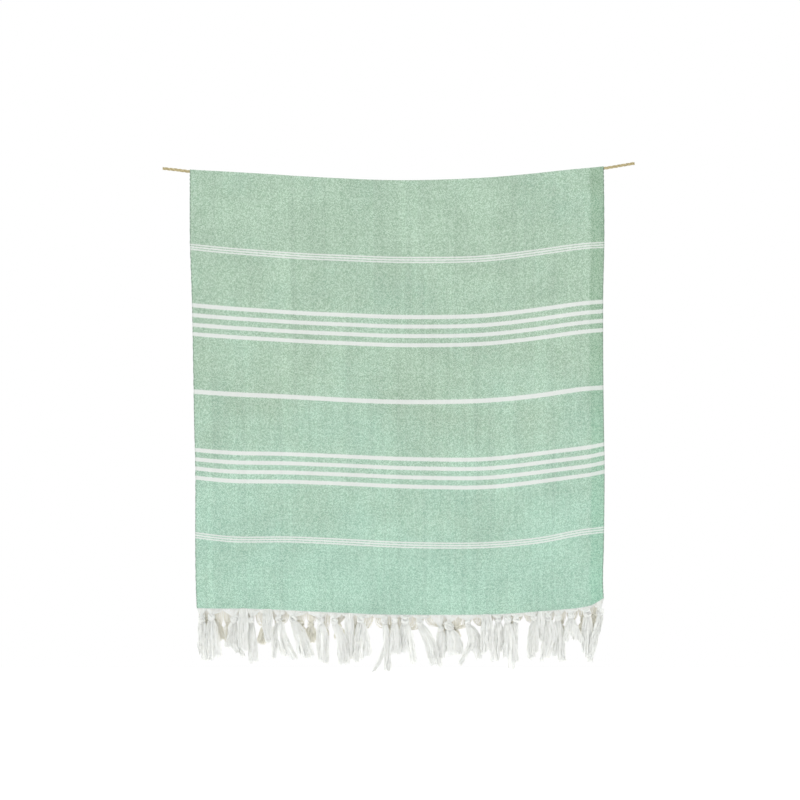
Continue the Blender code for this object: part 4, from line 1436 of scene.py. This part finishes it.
# %% Knots
# Right, out from the cloth, and up, in mm from the knot's middle.
OVERHAND = [
    (0.0, -1.0, 6.2), (1.2, -2.6, 4.2), (3.6, -3.0, 1.4), (5.0, 0.0, -1.6),
    (2.2, 3.9, -3.3), (-2.6, 3.7, -2.8), (-5.0, 0.2, -0.6), (-3.0, -3.6, 2.4),
    (1.6, -3.6, 4.0), (4.6, -0.2, 4.2), (3.0, 3.6, 3.2), (-1.6, 4.4, 2.0),
    (-4.4, 1.6, 0.6), (-3.0, -0.6, -3.0), (-0.6, 0.2, -6.0), (0.0, 0.0, -8.6),
]
OVERHAND_WIDTH = 14.8               # of a knot tied along that path
OVERHAND_RADIUS = 3.4 * MM          # of the bundle in it
KNOT_FLATTENED, KNOT_PULLED_LONG = 0.85, 1.05
KNOTTED = {
    "Points": 23, "Depth Share": 1.0, "Inner Share": 0.7, "Waviness": 0.2 * MM,
    "Wave Length": 8 * MM, "Wave Start": 0.1, "Uneven Tips": 0.0, "Bundle Twist": 0.8,
    "Taper": 0.0,
}


def knot_paths(side):
    """The path of each knot. A bunch without a knot draws its chances too, but has no path."""
    rng = random.Random(40 + side)
    paths = []
    for k, tassel in enumerate(TASSELS[side]):
        kx, ky, kz = knot_place(tassel, side)
        mirror = -1 if k % 2 else 1
        turn = rng.uniform(-0.5, 0.5)
        lean = rng.uniform(-0.14, 0.14)
        if not tassel[2]:
            continue
        grow = tassel[2] / OVERHAND_WIDTH
        path = []
        for right, out, up in OVERHAND:
            across = (right * math.cos(turn) - out * math.sin(turn)) * mirror + up * lean
            depth = right * math.sin(turn) + out * math.cos(turn)
            path.append((kx + across * grow * MM, ky + side * depth * KNOT_FLATTENED * grow * MM,
                         kz + up * KNOT_PULLED_LONG * grow * MM, OVERHAND_RADIUS * grow))
        paths.append(path)
    return paths


knots = {
    side: bundled(side, name, knot_paths(side), 50,
                  {**KNOTTED, "Yarns": yarns, "Yarn Radius": radius})
    for side, name, yarns, radius in ((FRONT, "front_knots", 26, 0.62 * MM),
                                      (BACK, "back_knots", 14, 0.74 * MM))
}

# %% [markdown]
# ### Tails
#
# Below its knot a tassel opens into its three locks. Each lock is a path of its own: it leaves
# the knot's foot, is fullest half way down, and ends in an uneven cut. The middle lock hangs in
# front of the two at the sides. The front tails have so many yarns that they are two pieces.

# %% Tails
# Down a lock: share of the way from the foot to the middle, or from the middle to the tip, and
# the lock's width there as a share of its full width.
UPPER_LOCK = [(0.0, 0.50), (0.16, 0.82), (0.5, 1.0)]
LOWER_LOCK = [(0.0, 1.0), (0.5, 1.0), (1.0, 0.86)]
FOOT_SPREAD = 0.17                  # the side locks leave the knot this far aside, by its width
BUNCH_SPREAD = 5.0 * MM
HEM_LAP = 2.0 * MM                  # a bunch's locks start this far behind the hem
YARN_MARGIN = 0.6 * MM              # the outermost yarn's own thickness and wander
KNOT_FOOT_IN, BUNCH_FOOT_OUT = 2.0 * MM, 1.5 * MM
MIDDLE_LOCK_OUT, SIDE_LOCK_OUT = 1.6, -1.0      # mm
PAST_THE_SELVEDGE = 1.1             # beyond the last tassel, as a share of the hem's width
HANGING = {
    "Points": 14, "Depth Share": 0.5, "Inner Share": 0.25, "Wave Length": 16 * MM,
    "Wave Start": 0.2, "Uneven Tips": 0.065, "Clumps": 10, "Clump Share": 1.0,
    "Bundle Twist": 0.25, "Taper": 0.1,
}
FRONT_TAILS = {**HANGING, "Yarns": 40, "Yarn Radius": 0.66 * MM, "Waviness": 2.6 * MM}
BACK_TAILS = {**HANGING, "Yarns": 23, "Yarn Radius": 0.70 * MM, "Waviness": 1.7 * MM}


def part_way(start, end, share):
    """A value between two others."""
    return start + (end - start) * share


def lock_path(start, middle, tip, radius, sway):
    """A lock's middle line, with its radius, from a knot's foot through its middle to its tip."""
    rows = []
    for share, full in UPPER_LOCK:
        rows.append((part_way(start[0], middle[0], share**0.85),
                     part_way(start[1], middle[1], ease(1.6 * share)),
                     part_way(start[2], middle[2], share), radius * full))
    for share, full in LOWER_LOCK:
        rows.append((part_way(middle[0], tip[0], share) + sway * math.sin(math.pi * share),
                     part_way(middle[1], tip[1], share),
                     part_way(middle[2], tip[2], share), radius * full))
    return rows


def lock_paths(side, left=0.0, right=PAST_THE_SELVEDGE):
    """The locks of the tassels that hang between two shares of the hem's width."""
    rng = random.Random(60 + side)
    paths = []
    for index, tassel in enumerate(TASSELS[side]):
        if not left <= tassel[0] * MM / HEM_WIDTH < right:
            continue
        kx, ky, kz = knot_place(tassel, side)
        hem_z = hem_point(tassel[0] * MM, side)[2]
        hang_y = hang_plane(tassel, index, side)
        if tassel[2]:
            top_z, top_y = kz - tassel[2] * NECK_SHARE * MM, ky - side * KNOT_FOOT_IN
            spread = tassel[2] * FOOT_SPREAD * MM
        else:
            top_z, top_y = hem_z + HEM_LAP, ky - side * (KNOT_OUT - BUNCH_FOOT_OUT)
            spread = BUNCH_SPREAD
        for place, lock in zip((-1, 0, 1), tassel[3]):
            mid_at, mid_drop, tip_at, tip_drop, width = (value * MM for value in lock)
            out = side * (MIDDLE_LOCK_OUT if place == 0 else SIDE_LOCK_OUT) * MM
            start = (kx + place * spread, top_y, top_z)
            middle = (kx + mid_at, hang_y + out, hem_z - mid_drop)
            tip = (kx + tip_at, hang_y + out, hem_z - tip_drop)
            sway = rng.uniform(-1.4, 1.4) * MM
            paths.append(lock_path(start, middle, tip, width / 2 - YARN_MARGIN, sway))
    return paths


tails = {
    FRONT: [bundled(FRONT, "front_tails_left", lock_paths(FRONT, 0.0, 0.5), 70, FRONT_TAILS),
            bundled(FRONT, "front_tails_right", lock_paths(FRONT, 0.5), 70, FRONT_TAILS)],
    BACK: [bundled(BACK, "back_tails", lock_paths(BACK), 70, BACK_TAILS)],
}

# %% [markdown]
# The yarns above lie mostly round the outside of each lock and knot. The same paths get a solid
# core, so that no daylight shows through them, and a few finer fibres that work loose and break
# up the outline, as fluff does on the real yarn.

# %% Cores and loose ends
CORE = {
    "Yarns": 1, "Yarn Radius": 0.0, "Sides": 9, "Path Share": 0.28, "Spread": 0.0,
    "Points": 16, "Waviness": 0.5 * MM, "Wave Length": 20 * MM, "Wave Start": 0.5,
    "Uneven Tips": 0.10, "Bundle Twist": 0.0, "Taper": 0.35,
}
FLUFF = {
    "Yarn Radius": 0.24 * MM, "Points": 9, "Depth Share": 0.9, "Inner Share": 0.6,
    "Waviness": 2.2 * MM, "Wave Length": 22 * MM, "Wave Start": 0.8, "Uneven Tips": 0.28,
    "Bundle Twist": 0.2, "Taper": 0.7,
}
cores = {side: bundled(side, name, lock_paths(side) + knot_paths(side), 80, CORE)
         for side, name in ((FRONT, "front_cores"), (BACK, "back_cores"))}
fluff = {side: bundled(side, name, lock_paths(side), 90, {**FLUFF, "Yarns": fibres})
         for side, name, fibres in ((FRONT, "front_fluff", 14), (BACK, "back_fluff", 5))}

# %% [markdown]
# ## Fitting the pieces to the frame
#
# Each piece stands for the solid that it replaces and rides on the one body. The rope's length
# along its middle line and the towel's size when laid flat are worked out from the picture and from
# what such towels measure.

# %% Pieces and their solids
ROPE_SLOT, CLOTH_SLOT, YARN_SLOT = "jute_rope", "sage_cloth", "fringe_yarn"
SOLID_OF = {
    rope: ("rope", ROPE_SLOT),
    rope_hairs: (None, ROPE_SLOT),
    towel: ("towel_cloth", CLOTH_SLOT),
}
for side, node in ((FRONT, "fringe_front"), (BACK, "fringe_back")):
    for piece in (gathers[side], knots[side], *tails[side], cores[side], fluff[side]):
        SOLID_OF[piece] = (node, YARN_SLOT)
for piece, (node, slot) in SOLID_OF.items():
    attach(piece, "root")
    if node:
        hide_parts(node)
    print(piece.name, "stands for", node)
